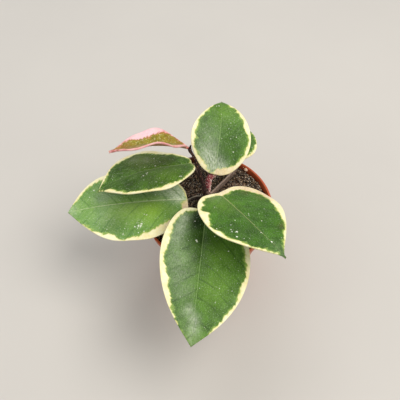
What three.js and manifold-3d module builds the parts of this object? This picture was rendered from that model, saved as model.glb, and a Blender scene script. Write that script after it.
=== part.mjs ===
// A potted hoya: seven waxy two-coloured leaves on one short climbing stem, rooted in a small moulded pot.
// Millimetres and degrees, +Z up. The origin is the centre of the pot's flat base, and -Y is the plant's
// front.
import * as THREE from "three";
import { mergeVertices } from "three/addons/utils/BufferGeometryUtils.js";
import Module from "manifold-3d";

const CLEARANCE = 0.3; // left between pieces that touch on the real plant

const POT = {
  height: 62,
  baseRadius: 22.5,
  rimRadius: 35,
  wall: 1.2,
  floor: 1.6,
  footRound: 0.8,
  cornerRound: 0.8, // inside, where the wall meets the floor
  collarHeight: 6,
  collarStep: 1.5, // how far the collar stands out over the wall below it
  collarDraft: 1, // how much the collar widens up to the rim
  collarRound: 0.5,
  lip: 1.3,
  lipRound: 0.5,
  drainHoles: 6,
  drainHoleRadius: 3,
  drainCircleRadius: 15,
  drainHoleSides: 20,
  sectors: 60,
};
const COLLAR_FOOT = POT.height - POT.collarHeight;
const COLLAR_RADIUS = POT.rimRadius - POT.collarDraft;
const NECK_RADIUS = COLLAR_RADIUS - POT.collarStep;

const SOIL = {
  edgeHeight: 58.4,
  mound: 1, // how much higher the middle stands
  rings: 10,
  sectors: 48,
  cornerRise: 1,
  stemHoleRadius: 2.3,
  stemHoleFloor: 29,
  stemHoleSides: 16,
};
// The soil's uneven top: shallow waves that cross each other, each with its wavelength, heading and height.
const SOIL_WAVES = [
  { length: 20, heading: 18, height: 0.35, phase: 1.3 },
  { length: 8.5, heading: -42, height: 0.2, phase: 0 },
  { length: 7.4, heading: 56, height: 0.18, phase: 2 },
];

// The stem from its rooted end to the growing tip: where its centre line runs, and its radius there.
const STEM = [
  { at: [-0.7, 2.3, 30], radius: 1.6 },
  { at: [-0.7, 2.3, 45], radius: 1.8 },
  { at: [-0.7, 2.3, 58], radius: 1.9 },
  { at: [-0.6, 1.4, 67], radius: 2.3 },
  { at: [-0.8, 0.3, 70.3], radius: 1.8 },
  { at: [-0.9, -0.9, 73.5], radius: 2.2 },
  { at: [-1.5, -1.7, 76.5], radius: 1.6 },
  { at: [-1.8, -2.2, 79.3], radius: 1.8 },
  { at: [-2.5, -0.8, 81.2], radius: 1 },
  { at: [-3.6, 2, 84], radius: 0.8 },
  { at: [-5.3, 5.3, 88], radius: 0.75 },
  { at: [-6.6, 8.5, 90.5], radius: 0.7 },
  { at: [-8.2, 11, 92.6], radius: 0.7 },
  { at: [-9.7, 13.3, 93.6], radius: 1 },
  { at: [-9.3, 14.4, 96.2], radius: 0.4 },
];
const NODE_LOW = STEM[3].at;
const NODE_MIDDLE = STEM[5].at;
const NODE_HIGH = STEM[7].at;
const NODE_TIP = STEM[13].at;

const BLADE = {
  midribThickness: 1.5,
  marginThickness: 0.9,
  rows: 24,
  columns: 8,
  narrowestHalf: 0.4,
  lobePlace: 0.08, // where the base lobes reach furthest back, as a share of the length
  lobePower: 1.3, // how the reach back grows from the midrib to the margin
  dripLength: 0.1, // the stretch that the pointed tip narrows over, as a share of the length
  rightWaveShift: 0.37, // of a wave, by which the right margin's waves lag the left's
};

const RIB = {
  start: 0.01, // where the raised midrib begins and ends under the blade, as shares of the length
  reach: 0.72,
  points: 5,
  baseShare: 0.87, // its radius at each end, as a share of the petiole's
  tipShare: 0.3,
  depth: 0.75, // of its centre line under the blade's middle surface
};

const LIMB = {
  sides: 8,
  stemSteps: 2, // lengths of tube from one station to the next
  petioleSteps: 3,
};

// Each leaf grows from a node of the stem along its petiole to the blade's base.
// midrib: its compass direction at the base, counter-clockwise from +X, and its upward slope, which change
// along it by turn and -droop; a high droopPower keeps the droop for the tip.
// outline: fullness of the base and taper of the tip, how much the very tip narrows, how far the base lobes
// reach back in mm, and what makes the halves unequal: a lean to the left, a skew of the left half forwards.
// section: roll tips the blade round the midrib, raising its left side; fold is the slope of each half up
// from the midrib, and curl what that slope gains on the way to the margin.
// edge: the height of the margin's waves in mm, their number along the leaf, and the phase of the first.
const LEAVES = {
  leaf_left_low: {
    node: NODE_LOW,
    petiole: [[-6, 0.6, 69.6]],
    petioleRadius: 1,
    base: [-11.3, -0.7, 69],
    length: 63.5,
    width: 44,
    midrib: { heading: 183, turn: 6.5, rise: 3, droop: 10.5, droopPower: 1.2 },
    outline: { fullness: 0.56, taper: 0.56, drip: 0.77, lobe: 1.6, lean: 0.09, skew: -0.105 },
    section: { roll: 0, fold: 6, curl: -6 },
    edge: { wave: 0.6, waves: 2.5, phase: 0.4 },
  },
  leaf_back_right: {
    node: NODE_LOW,
    petiole: [[5.8, 9.2, 66.6], [12.6, 17, 67]],
    petioleRadius: 1.25,
    base: [17.1, 25.7, 68],
    length: 41.5,
    width: 29,
    midrib: { heading: 108, turn: -4, rise: 3.5, droop: 30.5, droopPower: 1 },
    outline: { fullness: 0.37, taper: 0.82, drip: 0.65, lobe: 0.3, lean: 0, skew: -0.02 },
    section: { roll: 0, fold: 6, curl: -6 },
    edge: { wave: 0.5, waves: 2, phase: 1.1 },
  },
  leaf_front: {
    node: NODE_MIDDLE,
    petiole: [[-1.2, -6.7, 75.5]],
    petioleRadius: 1.6,
    base: [-1.5, -12.9, 77],
    length: 69,
    width: 44,
    midrib: { heading: -96, turn: 0, rise: 0, droop: 10.3, droopPower: 1.3 },
    outline: { fullness: 0.455, taper: 0.72, drip: 0.6, lobe: 1.9, lean: 0.095, skew: 0.105 },
    section: { roll: -4, fold: 8, curl: -6 },
    edge: { wave: 0.5, waves: 2, phase: 0 },
  },
  leaf_back: {
    node: NODE_MIDDLE,
    petiole: [[-0.6, 1.8, 76.7], [0.4, 5.2, 80.6]],
    petioleRadius: 1.7,
    base: [2.8, 5.4, 83.5],
    length: 46.1,
    width: 31.1,
    midrib: { heading: 77.5, turn: 12.8, rise: 36.5, droop: 69.3, droopPower: 1.8 },
    outline: { fullness: 0.75, taper: 1.085, drip: 0.46, lobe: 1.4, lean: -0.045, skew: 0.06 },
    section: { roll: 0, fold: 8, curl: -6 },
    edge: { wave: 0.4, waves: 2, phase: 2 },
  },
  leaf_left_high: {
    node: NODE_HIGH,
    petiole: [[-4.6, 4.6, 82.5]],
    petioleRadius: 1.1,
    base: [-8.9, 10.4, 86],
    length: 51,
    width: 38,
    midrib: { heading: 193, turn: 12.5, rise: 7, droop: 35.5, droopPower: 2.8 },
    outline: { fullness: 0.8, taper: 0.82, drip: 0.9, lobe: 2.9, lean: 0.07, skew: -0.09 },
    section: { roll: 20, fold: 6, curl: -6 },
    edge: { wave: 0.5, waves: 2, phase: 0.8 },
  },
  leaf_right: {
    node: NODE_HIGH,
    petiole: [[1.5, -5.9, 80]],
    petioleRadius: 1.2,
    base: [4.9, -6.6, 84],
    length: 54.3,
    width: 43,
    midrib: { heading: -58.5, turn: 2, rise: 20, droop: 14, droopPower: 2.2 },
    outline: { fullness: 0.58, taper: 0.94, drip: 0.9, lobe: 3.1, lean: 0, skew: -0.11 },
    section: { roll: -17, fold: 5, curl: -4 },
    edge: { wave: 0.4, waves: 2, phase: 1.6 },
  },
  leaf_young: {
    node: NODE_TIP,
    petiole: [[-10.3, 14.6, 93.5]],
    petioleRadius: 0.8,
    base: [-11.1, 15.4, 94.1],
    length: 41.2,
    width: 25.9,
    midrib: { heading: 197, turn: -0.2, rise: 34.3, droop: 40.7, droopPower: 0.97 },
    outline: { fullness: 1.18, taper: 1.37, drip: 0.46, lobe: 0.3, lean: 0.15, skew: 0.157 },
    section: { roll: 24.9, fold: 20, curl: 1 },
    edge: { wave: 1.3, waves: 1.8, phase: 2.05 },
  },
};

const COLOURS = {
  pot: { color: 0xb4532f, roughness: 0.45, metalness: 0 },
  soil: { color: 0x2b211b, roughness: 1, metalness: 0 },
  stem: { color: 0x6e3a38, roughness: 0.6, metalness: 0 },
  leaf: { color: 0x4b7d35, roughness: 0.35, metalness: 0 },
  youngLeaf: { color: 0xd98a8a, roughness: 0.4, metalness: 0 },
};

const SPINE_STEPS = 120;
const WELD = 1e-4; // vertices closer than this are one

const wasm = await Module();
wasm.setup();
const radians = THREE.MathUtils.degToRad;
const lerp = THREE.MathUtils.lerp;

// A closed mesh as a solid, with its shared vertices merged.
function solidOf(geometry) {
  geometry.deleteAttribute("normal");
  geometry.deleteAttribute("uv");
  const merged = mergeVertices(geometry, WELD);
  return new wasm.Manifold(
    new wasm.Mesh({
      numProp: 3,
      vertProperties: merged.attributes.position.array,
      triVerts: new Uint32Array(merged.index.array),
    }),
  );
}

// A solid's largest body as drawable geometry; cutting can leave a crumb beside it.
function geometryOf(solid) {
  const bodies = solid.decompose().sort((a, b) => b.volume() - a.volume());
  const mesh = bodies[0].getMesh();
  return new THREE.BufferGeometry()
    .setAttribute("position", new THREE.BufferAttribute(new Float32Array(mesh.vertProperties), 3))
    .setIndex(new THREE.BufferAttribute(new Uint32Array(mesh.triVerts), 1));
}

function indexedGeometry(positions, indices) {
  return new THREE.BufferGeometry()
    .setAttribute("position", new THREE.Float32BufferAttribute(positions, 3))
    .setIndex(indices);
}

// A closed tube of changing radius along a smooth line through the given stations.
function limb(stations, stepsBetween, extraRadius = 0) {
  const { sides } = LIMB;
  const curve = new THREE.CatmullRomCurve3(stations.map(({ at }) => new THREE.Vector3(...at)));
  const steps = stepsBetween * (stations.length - 1);
  const positions = [];
  const indices = [];
  let side = new THREE.Vector3(1, 0, 0.2); // no limb sets out along this
  for (let i = 0; i <= steps; i++) {
    const before = Math.min(Math.floor(i / stepsBetween), stations.length - 2);
    const share = i / stepsBetween - before;
    const radius = extraRadius + lerp(stations[before].radius, stations[before + 1].radius, share);
    const centre = curve.getPoint(i / steps);
    const along = curve.getTangent(i / steps);
    side = side.addScaledVector(along, -side.dot(along)).normalize();
    const across = new THREE.Vector3().crossVectors(along, side);
    for (let k = 0; k < sides; k++) {
      const angle = (2 * Math.PI * k) / sides;
      const point = centre
        .clone()
        .addScaledVector(side, radius * Math.cos(angle))
        .addScaledVector(across, radius * Math.sin(angle));
      positions.push(...point.toArray());
    }
  }
  for (let i = 0; i < steps; i++) {
    for (let k = 0; k < sides; k++) {
      const a = i * sides + k;
      const b = i * sides + ((k + 1) % sides);
      indices.push(a, b, b + sides, a, b + sides, a + sides);
    }
  }
  const last = steps * sides;
  for (let k = 1; k < sides - 1; k++) {
    indices.push(0, k + 1, k, last, last + k, last + k + 1);
  }
  return solidOf(indexedGeometry(positions, indices));
}

// The midrib's run: points and directions at even steps from the blade's base to its tip.
function spineOf(leaf) {
  const { heading, turn, rise, droop, droopPower } = leaf.midrib;
  const directions = [];
  for (let i = 0; i <= SPINE_STEPS; i++) {
    const share = i / SPINE_STEPS;
    const pitch = radians(rise - droop * share ** droopPower);
    const compass = radians(heading + turn * share);
    const flat = Math.cos(pitch);
    directions.push(
      new THREE.Vector3(flat * Math.cos(compass), flat * Math.sin(compass), Math.sin(pitch)),
    );
  }
  const points = [new THREE.Vector3(...leaf.base)];
  for (let i = 1; i <= SPINE_STEPS; i++) {
    const mean = directions[i - 1].clone().add(directions[i]).divideScalar(2);
    points.push(points[i - 1].clone().addScaledVector(mean, leaf.length / SPINE_STEPS));
  }
  return { points, directions };
}

// Half the blade's width at a share s of its length: full near the base, tapering to a drawn-out tip.
function halfWidth(leaf, s) {
  const { fullness, taper, drip } = leaf.outline;
  const widest = fullness / (fullness + taper);
  const oval = (s / widest) ** fullness * ((1 - s) / (1 - widest)) ** taper;
  const narrowing = 1 - drip * Math.exp(-(1 - s) / BLADE.dripLength);
  return Math.max((leaf.width / 2) * oval * narrowing, BLADE.narrowestHalf);
}

// The midrib's place at a share of the leaf's length, with the blade's own directions there.
function bladeFrame(leaf, spine, share) {
  const place = share * SPINE_STEPS;
  const before = Math.min(Math.floor(place), SPINE_STEPS - 1);
  const centre = spine.points[before].clone().lerp(spine.points[before + 1], place - before);
  const forward = spine.directions[before].clone().lerp(spine.directions[before + 1], place - before);
  forward.normalize();
  const compass = radians(leaf.midrib.heading + leaf.midrib.turn * share);
  const level = new THREE.Vector3(-Math.sin(compass), Math.cos(compass), 0);
  const above = new THREE.Vector3().crossVectors(forward, level);
  const roll = radians(leaf.section.roll);
  const left = level.clone().multiplyScalar(Math.cos(roll)).addScaledVector(above, Math.sin(roll));
  const up = above.multiplyScalar(Math.cos(roll)).addScaledVector(level, -Math.sin(roll));
  return { centre, forward, left, up };
}

// The point of the blade's middle surface at s of its length and v across it, from -1 at the right margin to
// 1 at the left, with the surface's upward normal there.
function bladePoint(leaf, spine, s, v) {
  const { lobe, lean, skew } = leaf.outline;
  const { fold, curl } = leaf.section;
  const { wave, waves, phase } = leaf.edge;
  const side = Math.sign(v);
  const backwards = (s / BLADE.lobePlace) * Math.exp(1 - s / BLADE.lobePlace);
  const across = halfWidth(leaf, s) * (1 + side * lean) * v;
  const along = s * leaf.length - lobe * backwards * Math.abs(v) ** BLADE.lobePower + skew * across;
  const share = THREE.MathUtils.clamp(along / leaf.length, 0, 1);
  const { centre, forward, left, up } = bladeFrame(leaf, spine, share);

  const reach = Math.abs(across);
  const start = radians(fold);
  const bend = radians(curl) / (leaf.width / 2);
  const slope = start + bend * reach;
  const sideways = (Math.sin(slope) - Math.sin(start)) / bend;
  const lift = (Math.cos(start) - Math.cos(slope)) / bend;

  const toMargin = (reach / (leaf.width / 2)) ** 2;
  const turns = waves * share + (side > 0 ? 0 : BLADE.rightWaveShift);
  const ripple = wave * toMargin * Math.sin(2 * Math.PI * turns + phase);

  const point = centre
    .addScaledVector(forward, Math.min(along, 0))
    .addScaledVector(left, side * sideways)
    .addScaledVector(up, lift + ripple);
  const normal = up.multiplyScalar(Math.cos(slope)).addScaledVector(left, -side * Math.sin(slope));
  return { point, normal };
}

// The blade as a closed leathery plate, thickest at the midrib, with both faces split into triangles alike.
function bladeSolid(leaf, spine) {
  const { rows, columns, midribThickness, marginThickness } = BLADE;
  const upper = [];
  const lower = [];
  for (let i = 0; i <= rows; i++) {
    const s = (1 - Math.cos((Math.PI * i) / rows)) / 2;
    for (let j = 0; j <= columns; j++) {
      const v = (2 * j) / columns - 1;
      const { point, normal } = bladePoint(leaf, spine, s, v);
      const half = lerp(midribThickness, marginThickness, Math.abs(v)) / 2;
      upper.push(...point.clone().addScaledVector(normal, half).toArray());
      lower.push(...point.addScaledVector(normal, -half).toArray());
    }
  }
  const under = (rows + 1) * (columns + 1);
  const at = (i, j) => i * (columns + 1) + j;
  const indices = [];
  for (let i = 0; i < rows; i++) {
    for (let j = 0; j < columns; j++) {
      const [a, b, c, d] = [at(i, j), at(i + 1, j), at(i + 1, j + 1), at(i, j + 1)];
      indices.push(a, b, c, a, c, d);
      indices.push(a + under, c + under, b + under, a + under, d + under, c + under);
    }
  }
  const edge = [];
  for (let i = 0; i < rows; i++) edge.push(at(i, 0));
  for (let j = 0; j < columns; j++) edge.push(at(rows, j));
  for (let i = rows; i > 0; i--) edge.push(at(i, columns));
  for (let j = columns; j > 0; j--) edge.push(at(0, j));
  edge.forEach((a, k) => {
    const b = edge[(k + 1) % edge.length];
    indices.push(a, a + under, b + under, a, b + under, b);
  });
  return solidOf(indexedGeometry([...upper, ...lower], indices));
}

// The petiole from the stem's node to the blade, running on as the raised midrib under it.
function stalkSolid(leaf, spine) {
  const radius = leaf.petioleRadius;
  const stations = [leaf.node, ...leaf.petiole].map((at) => ({ at, radius }));
  for (let i = 0; i < RIB.points; i++) {
    const share = i / (RIB.points - 1);
    const { point, normal } = bladePoint(leaf, spine, lerp(RIB.start, RIB.reach, share), 0);
    stations.push({
      at: point.addScaledVector(normal, -RIB.depth).toArray(),
      radius: radius * lerp(RIB.baseShare, RIB.tipShare, share),
    });
  }
  return limb(stations, LIMB.petioleSteps);
}

function leafGeometry(leaf, stemSpace) {
  const spine = spineOf(leaf);
  return geometryOf(bladeSolid(leaf, spine).add(stalkSolid(leaf, spine)).subtract(stemSpace));
}

// A quarter turn of an outline round (r, z), from one angle to another.
function quarter(r, z, radius, from, to) {
  return [from, (from + to) / 2, to].map((angle) => [
    r + radius * Math.cos(radians(angle)),
    z + radius * Math.sin(radians(angle)),
  ]);
}

// The pot's wall as one closed outline turned about the axis: floor, tapered wall, stepped collar, lip.
function potGeometry() {
  const { height, baseRadius, rimRadius, wall, floor, lip } = POT;
  const { footRound, cornerRound, collarRound, lipRound } = POT;
  const profile = [
    [0, 0],
    ...quarter(baseRadius - footRound, footRound, footRound, -90, 0),
    [NECK_RADIUS, COLLAR_FOOT],
    ...quarter(COLLAR_RADIUS - collarRound, COLLAR_FOOT + collarRound, collarRound, -90, 0),
    ...quarter(rimRadius - lipRound, height - lipRound, lipRound, 0, 90),
    ...quarter(rimRadius - lip + lipRound, height - lipRound, lipRound, 90, 180),
    [COLLAR_RADIUS - lip, COLLAR_FOOT + wall],
    [NECK_RADIUS - wall, COLLAR_FOOT - wall / 2],
    ...quarter(baseRadius - wall - cornerRound, floor + cornerRound, cornerRound, 0, -90),
    [0, floor],
  ];
  const points = profile.map(([r, z]) => new THREE.Vector2(r, z));
  let pot = solidOf(new THREE.LatheGeometry(points, POT.sectors).rotateX(Math.PI / 2));
  const { drainHoles, drainHoleRadius, drainCircleRadius, drainHoleSides } = POT;
  for (let i = 0; i < drainHoles; i++) {
    const angle = (2 * Math.PI * (i + 0.5)) / drainHoles;
    const [x, y] = [drainCircleRadius * Math.cos(angle), drainCircleRadius * Math.sin(angle)];
    const hole = new THREE.CylinderGeometry(drainHoleRadius, drainHoleRadius, 4 * floor, drainHoleSides);
    hole.rotateX(Math.PI / 2).translate(x, y, floor / 2);
    pot = pot.subtract(solidOf(hole));
  }
  return geometryOf(pot);
}

// The height of the soil's top at a place: a low mound with the waves on it.
function soilTop(x, y, topRadius) {
  let height = SOIL.edgeHeight + SOIL.mound * (1 - (Math.hypot(x, y) / topRadius) ** 2);
  for (const wave of SOIL_WAVES) {
    const heading = radians(wave.heading);
    const crests = (x * Math.cos(heading) + y * Math.sin(heading)) / wave.length;
    height += wave.height * Math.sin(2 * Math.PI * crests + wave.phase);
  }
  return height;
}

// The root ball: it fills the pot to under the rim, with an uneven, slightly mounded top and a plain hole for
// the stem.
function soilGeometry() {
  const { baseRadius, wall, lip, floor, cornerRound } = POT;
  const topRadius = COLLAR_RADIUS - lip - CLEARANCE;
  const rows = [
    [baseRadius - wall - cornerRound - CLEARANCE, floor + CLEARANCE],
    [baseRadius - wall - CLEARANCE, floor + SOIL.cornerRise + CLEARANCE],
    [NECK_RADIUS - wall - CLEARANCE, COLLAR_FOOT - wall / 2],
    [topRadius, COLLAR_FOOT + wall + CLEARANCE],
    [topRadius, null],
  ];
  for (let i = 1; i < SOIL.rings; i++) rows.push([topRadius * (1 - i / SOIL.rings), null]);
  const positions = [0, 0, floor + CLEARANCE];
  for (const [radius, z] of rows) {
    for (let k = 0; k < SOIL.sectors; k++) {
      const angle = (2 * Math.PI * k) / SOIL.sectors;
      const x = radius * Math.cos(angle);
      const y = radius * Math.sin(angle);
      positions.push(x, y, z ?? soilTop(x, y, topRadius));
    }
  }
  positions.push(0, 0, soilTop(0, 0, topRadius));
  const crown = positions.length / 3 - 1;
  const at = (row, k) => 1 + row * SOIL.sectors + (k % SOIL.sectors);
  const indices = [];
  for (let k = 0; k < SOIL.sectors; k++) {
    indices.push(0, at(0, k + 1), at(0, k));
    for (let row = 0; row < rows.length - 1; row++) {
      const [a, b, c, d] = [at(row, k), at(row, k + 1), at(row + 1, k + 1), at(row + 1, k)];
      indices.push(a, b, c, a, c, d);
    }
    indices.push(at(rows.length - 1, k), at(rows.length - 1, k + 1), crown);
  }
  const { stemHoleRadius, stemHoleFloor, stemHoleSides } = SOIL;
  const [x, y] = STEM[0].at;
  const depth = POT.height - stemHoleFloor;
  const hole = new THREE.CylinderGeometry(stemHoleRadius, stemHoleRadius, depth, stemHoleSides);
  hole.rotateX(Math.PI / 2).translate(x, y, stemHoleFloor + depth / 2);
  return geometryOf(solidOf(indexedGeometry(positions, indices)).subtract(solidOf(hole)));
}

function meshOf(name, geometry, finish) {
  const mesh = new THREE.Mesh(geometry, new THREE.MeshStandardMaterial(finish));
  mesh.name = name;
  return mesh;
}

const plant = new THREE.Group();
plant.name = "potted_hoya";
plant.add(meshOf("pot", potGeometry(), COLOURS.pot));
plant.add(meshOf("soil", soilGeometry(), COLOURS.soil));
plant.add(meshOf("stem", geometryOf(limb(STEM, LIMB.stemSteps)), COLOURS.stem));

const stemSpace = limb(STEM, LIMB.stemSteps, CLEARANCE);
for (const [name, leaf] of Object.entries(LEAVES)) {
  const finish = name === "leaf_young" ? COLOURS.youngLeaf : COLOURS.leaf;
  plant.add(meshOf(name, leafGeometry(leaf, stemSpace), finish));
}

export default plant;
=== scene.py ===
"""A small potted hoya with cream-edged waxy leaves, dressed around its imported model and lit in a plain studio.

Sizes are written in millimetres, as a grower or a mould maker would give them, and turn into metres when a mesh
is made. +Z is up, -Y is the plant's front, and the origin is the centre of the pot's flat base.
"""

import logging
import math
from collections.abc import Callable, Iterable
from dataclasses import dataclass, field
from enum import Enum
from functools import partial

import bpy
import numpy as np
from mathutils import Euler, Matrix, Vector, noise


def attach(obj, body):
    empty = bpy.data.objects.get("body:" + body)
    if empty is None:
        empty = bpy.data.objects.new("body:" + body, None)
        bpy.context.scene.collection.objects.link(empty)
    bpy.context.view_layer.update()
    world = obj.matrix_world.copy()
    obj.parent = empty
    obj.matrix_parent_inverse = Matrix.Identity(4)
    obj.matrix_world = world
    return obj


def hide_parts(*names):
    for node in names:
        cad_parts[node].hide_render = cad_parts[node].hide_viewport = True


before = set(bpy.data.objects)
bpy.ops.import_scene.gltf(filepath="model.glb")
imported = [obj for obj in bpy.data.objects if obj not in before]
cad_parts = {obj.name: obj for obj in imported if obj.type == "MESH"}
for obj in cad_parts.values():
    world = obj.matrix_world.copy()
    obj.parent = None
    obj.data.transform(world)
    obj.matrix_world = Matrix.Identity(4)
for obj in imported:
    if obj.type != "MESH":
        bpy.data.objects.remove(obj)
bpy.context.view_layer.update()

LOG = logging.getLogger("hoya")
MM = 0.001
BODY = "root"
SEED = 20
TURN = 2 * np.pi

Point = tuple[float, float, float]
Patch = tuple[float, float, float, float]
Socket = bpy.types.NodeSocket
Adder = Callable[..., Socket]


class Tint(Enum):
    """What a patch of a leaf's skin has more of than the rest; SHADE patches are painted shade, BLOOM ones painted
    sheen.
    """

    BRIGHT = "bright"
    SHADE = "shade"
    OLIVE = "olive"
    BLUSH = "blush"
    BLOOM = "painted_sheen"
    FLECK = "fleck"


def linear(colour: str) -> tuple[float, float, float, float]:
    """Turns an sRGB hex colour such as "#b4532f" into a linear one for a shader.

    Args:
        colour: The sRGB colour as a hash and six hex digits.

    Returns:
        Linear red, green, blue and an alpha of 1.
    """
    channels = [int(colour[i : i + 2], 16) / 255 for i in (1, 3, 5)]
    lit = [c / 12.92 if c <= 0.04045 else ((c + 0.055) / 1.055) ** 2.4 for c in channels]
    return (*lit, 1.0)


def feed(node: bpy.types.Node, inputs: dict) -> None:
    """Sets a node's inputs.

    Args:
        node: The node.
        inputs: For an input's name or number, the socket that feeds it or its fixed value.
    """
    for key, value in inputs.items():
        if isinstance(value, Socket):
            node.id_data.links.new(value, node.inputs[key])
        else:
            node.inputs[key].default_value = value


def add_node(
    tree: bpy.types.NodeTree, kind: str, inputs: dict | None = None, output: int | str = 0, **settings
) -> Socket:
    """Adds a shader node with its settings and links.

    Args:
        tree: The material's node tree.
        kind: The node's type, without its ShaderNode prefix.
        inputs: For an input's name or number, the socket that feeds it or its fixed value.
        output: The name or number of the output that is wanted.
        settings: The node's own properties.

    Returns:
        That output.
    """
    node = tree.nodes.new("ShaderNode" + kind)
    for name, value in settings.items():
        setattr(node, name, value)
    feed(node, inputs or {})
    return node.outputs[output]


def new_material(name: str, fixed: dict) -> tuple[bpy.types.Material, bpy.types.Node, Adder]:
    """Starts a material on one Principled shader.

    Args:
        name: The material's name.
        fixed: The shader's inputs that are the same all over the surface.

    Returns:
        The material, its shader node, and what adds a node to it.
    """
    material = bpy.data.materials.new(name)
    material.use_nodes = True
    shader = material.node_tree.nodes["Principled BSDF"]
    feed(shader, fixed)
    return material, shader, partial(add_node, material.node_tree)


def in_millimetres(add: Adder) -> Socket:
    """Places on the piece, in millimetres, for a pattern whose scale is one over its real size."""
    place = add("TexCoord", output="Object")
    return add("VectorMath", {0: place, 1: (1 / MM,) * 3}, operation="MULTIPLY")


def lay_over(add: Adder, base: str, layers: Iterable[tuple[Socket, str | Socket]]) -> Socket:
    """Lays colours over each other.

    Args:
        add: Adds a node to the material.
        base: The lowest colour, in sRGB hex.
        layers: From the lowest up, how much of each further colour shows and where, and the colour.

    Returns:
        The colour that the eye sees.
    """
    colour = linear(base)
    for share, over in layers:
        over = over if isinstance(over, Socket) else linear(over)
        colour = add("Mix", {0: share, 6: colour, 7: over}, 2, data_type="RGBA")
    return colour


def make_piece(
    name: str,
    vertices: np.ndarray,
    faces: list,
    material: bpy.types.Material,
    attributes: dict[str, np.ndarray] | None = None,
) -> bpy.types.Object:
    """Makes a smooth-shaded mesh object at the origin.

    Args:
        name: The piece's name.
        vertices: Its points, in millimetres.
        faces: The point numbers round each face.
        material: Its finish.
        attributes: Values or vectors at its points that the finish reads.

    Returns:
        The object, linked to the scene.
    """
    mesh = bpy.data.meshes.new(name)
    mesh.from_pydata((vertices * MM).tolist(), [], faces)
    for key, values in (attributes or {}).items():
        kind, entry = ("FLOAT_VECTOR", "vector") if values.ndim == 2 else ("FLOAT", "value")
        layer = mesh.attributes.new(key, kind, "POINT")
        layer.data.foreach_set(entry, values.astype(np.float32).ravel())
    mesh.materials.append(material)
    mesh.shade_smooth()
    mesh.update()
    piece = bpy.data.objects.new(name, mesh)
    bpy.context.scene.collection.objects.link(piece)
    return piece


def enrol(piece: bpy.types.Object, node: str | None = None) -> None:
    """Tells the frame what a piece rides on and what it stands for.

    Args:
        piece: The finished piece.
        node: The CAD node that it replaces, if it does.
    """
    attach(piece, BODY)
    if node is not None:
        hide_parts(node)
    LOG.info("%s: %d faces", piece.name, len(piece.data.polygons))


def noise_at(points: np.ndarray, size: float, shift: float = 0.0) -> np.ndarray:
    """Smooth noise between about -1 and 1 at each point.

    Args:
        points: The places, in millimetres.
        size: The size of the noise's lumps, in millimetres.
        shift: Moves to another part of the noise.

    Returns:
        One value for each point.
    """
    offset = Vector((shift, -shift, 2 * shift))
    return np.array([noise.noise(Vector(p) / size + offset) for p in points.reshape(-1, 3).tolist()])


def smooth_line(stations: np.ndarray, steps: int) -> np.ndarray:
    """Points on a centripetal Catmull-Rom line through the stations.

    Args:
        stations: The points that the line passes through.
        steps: How many lengths lie between one station and the next.

    Returns:
        The line's points, first and last station included.
    """
    ends = [2 * stations[0] - stations[1], *stations, 2 * stations[-1] - stations[-2]]
    line = []
    for a, b, c, d in zip(ends, ends[1:], ends[2:], ends[3:]):
        ab, bc, cd = (math.sqrt(max(np.linalg.norm(q - p), 1e-6)) for p, q in ((a, b), (b, c), (c, d)))
        leave = ((b - a) / ab - (c - a) / (ab + bc) + (c - b) / bc) * bc
        arrive = ((c - b) / bc - (d - b) / (bc + cd) + (d - c) / cd) * bc
        for t in np.arange(steps) / steps:
            before, after = b * (2 * t**3 - 3 * t**2 + 1), c * (3 * t**2 - 2 * t**3)
            line.append(before + leave * (t**3 - 2 * t**2 + t) + after + arrive * (t**3 - t**2))
    line.append(stations[-1])
    return np.array(line)


def circle(radius: float, height: float, sectors: int) -> np.ndarray:
    """Even points round the z axis at a radius and a height."""
    angles = TURN * np.arange(sectors) / sectors
    return np.stack([radius * np.cos(angles), radius * np.sin(angles), np.full(sectors, height)], 1)


def turned_faces(rings: int, sectors: int) -> list:
    """The faces of a body turned round the z axis.

    Args:
        rings: How many rings of points lie between its lower and upper end points.
        sectors: How many points each ring has.

    Returns:
        The point numbers round each face, where the lower end is point 0 and the upper end is the last.
    """
    faces = []
    top = 1 + (rings - 1) * sectors
    for k in range(sectors):
        after = (k + 1) % sectors
        faces.append((0, 1 + after, 1 + k))
        for ring in range(1, top, sectors):
            faces.append((ring + k, ring + after, ring + sectors + after, ring + sectors + k))
        faces.append((top + k, top + after, top + sectors))
    return faces


@dataclass(frozen=True)
class Limb:
    """A round stalk of changing thickness along a smooth line, closed at both ends.

    Attributes:
        stations: Points that its centre line passes through, in millimetres.
        radii: Its radius at each of them.
        sides: Faces round it.
        steps: Lengths from one station to the next.
        lumps: How far its surface strays from round, in millimetres.
        lump_size: The size of those lumps, in millimetres.
    """

    stations: list
    radii: list[float]
    sides: int = 20
    steps: int = 8
    lumps: float = 0.06
    lump_size: float = 1.8

    def mesh(self) -> tuple[np.ndarray, list, np.ndarray]:
        """The limb's surface.

        Returns:
            Its points, its faces, and for each point how many stations it has passed.
        """
        line = smooth_line(np.array(self.stations, float), self.steps)
        run = np.linspace(0, len(self.stations) - 1, len(line))
        ease = run - np.floor(run)
        radii = np.interp(np.floor(run) + ease * ease * (3 - 2 * ease), range(len(self.radii)), self.radii)
        along = np.gradient(line, axis=0)
        along /= np.linalg.norm(along, axis=1)[:, None]
        angles = TURN * np.arange(self.sides) / self.sides
        side = np.array([1.0, 0.0, 0.2])
        ways = []
        for forward in along:
            side = side - forward * (side @ forward)
            side /= np.linalg.norm(side)
            ways.append(np.cos(angles)[:, None] * side + np.sin(angles)[:, None] * np.cross(forward, side))
        outward = np.concatenate(ways)
        thickness = np.repeat(radii, self.sides)
        points = np.repeat(line, self.sides, axis=0) + thickness[:, None] * outward
        points = points + self.lumps * noise_at(points, self.lump_size)[:, None] * outward
        faces = [tuple(range(self.sides))[::-1], tuple(range(len(points) - self.sides, len(points)))]
        for i in range(len(line) - 1):
            for k in range(self.sides):
                a, b = i * self.sides + k, i * self.sides + (k + 1) % self.sides
                faces.append((a, b, b + self.sides, a + self.sides))
        return points, faces, np.repeat(run, self.sides)


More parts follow.
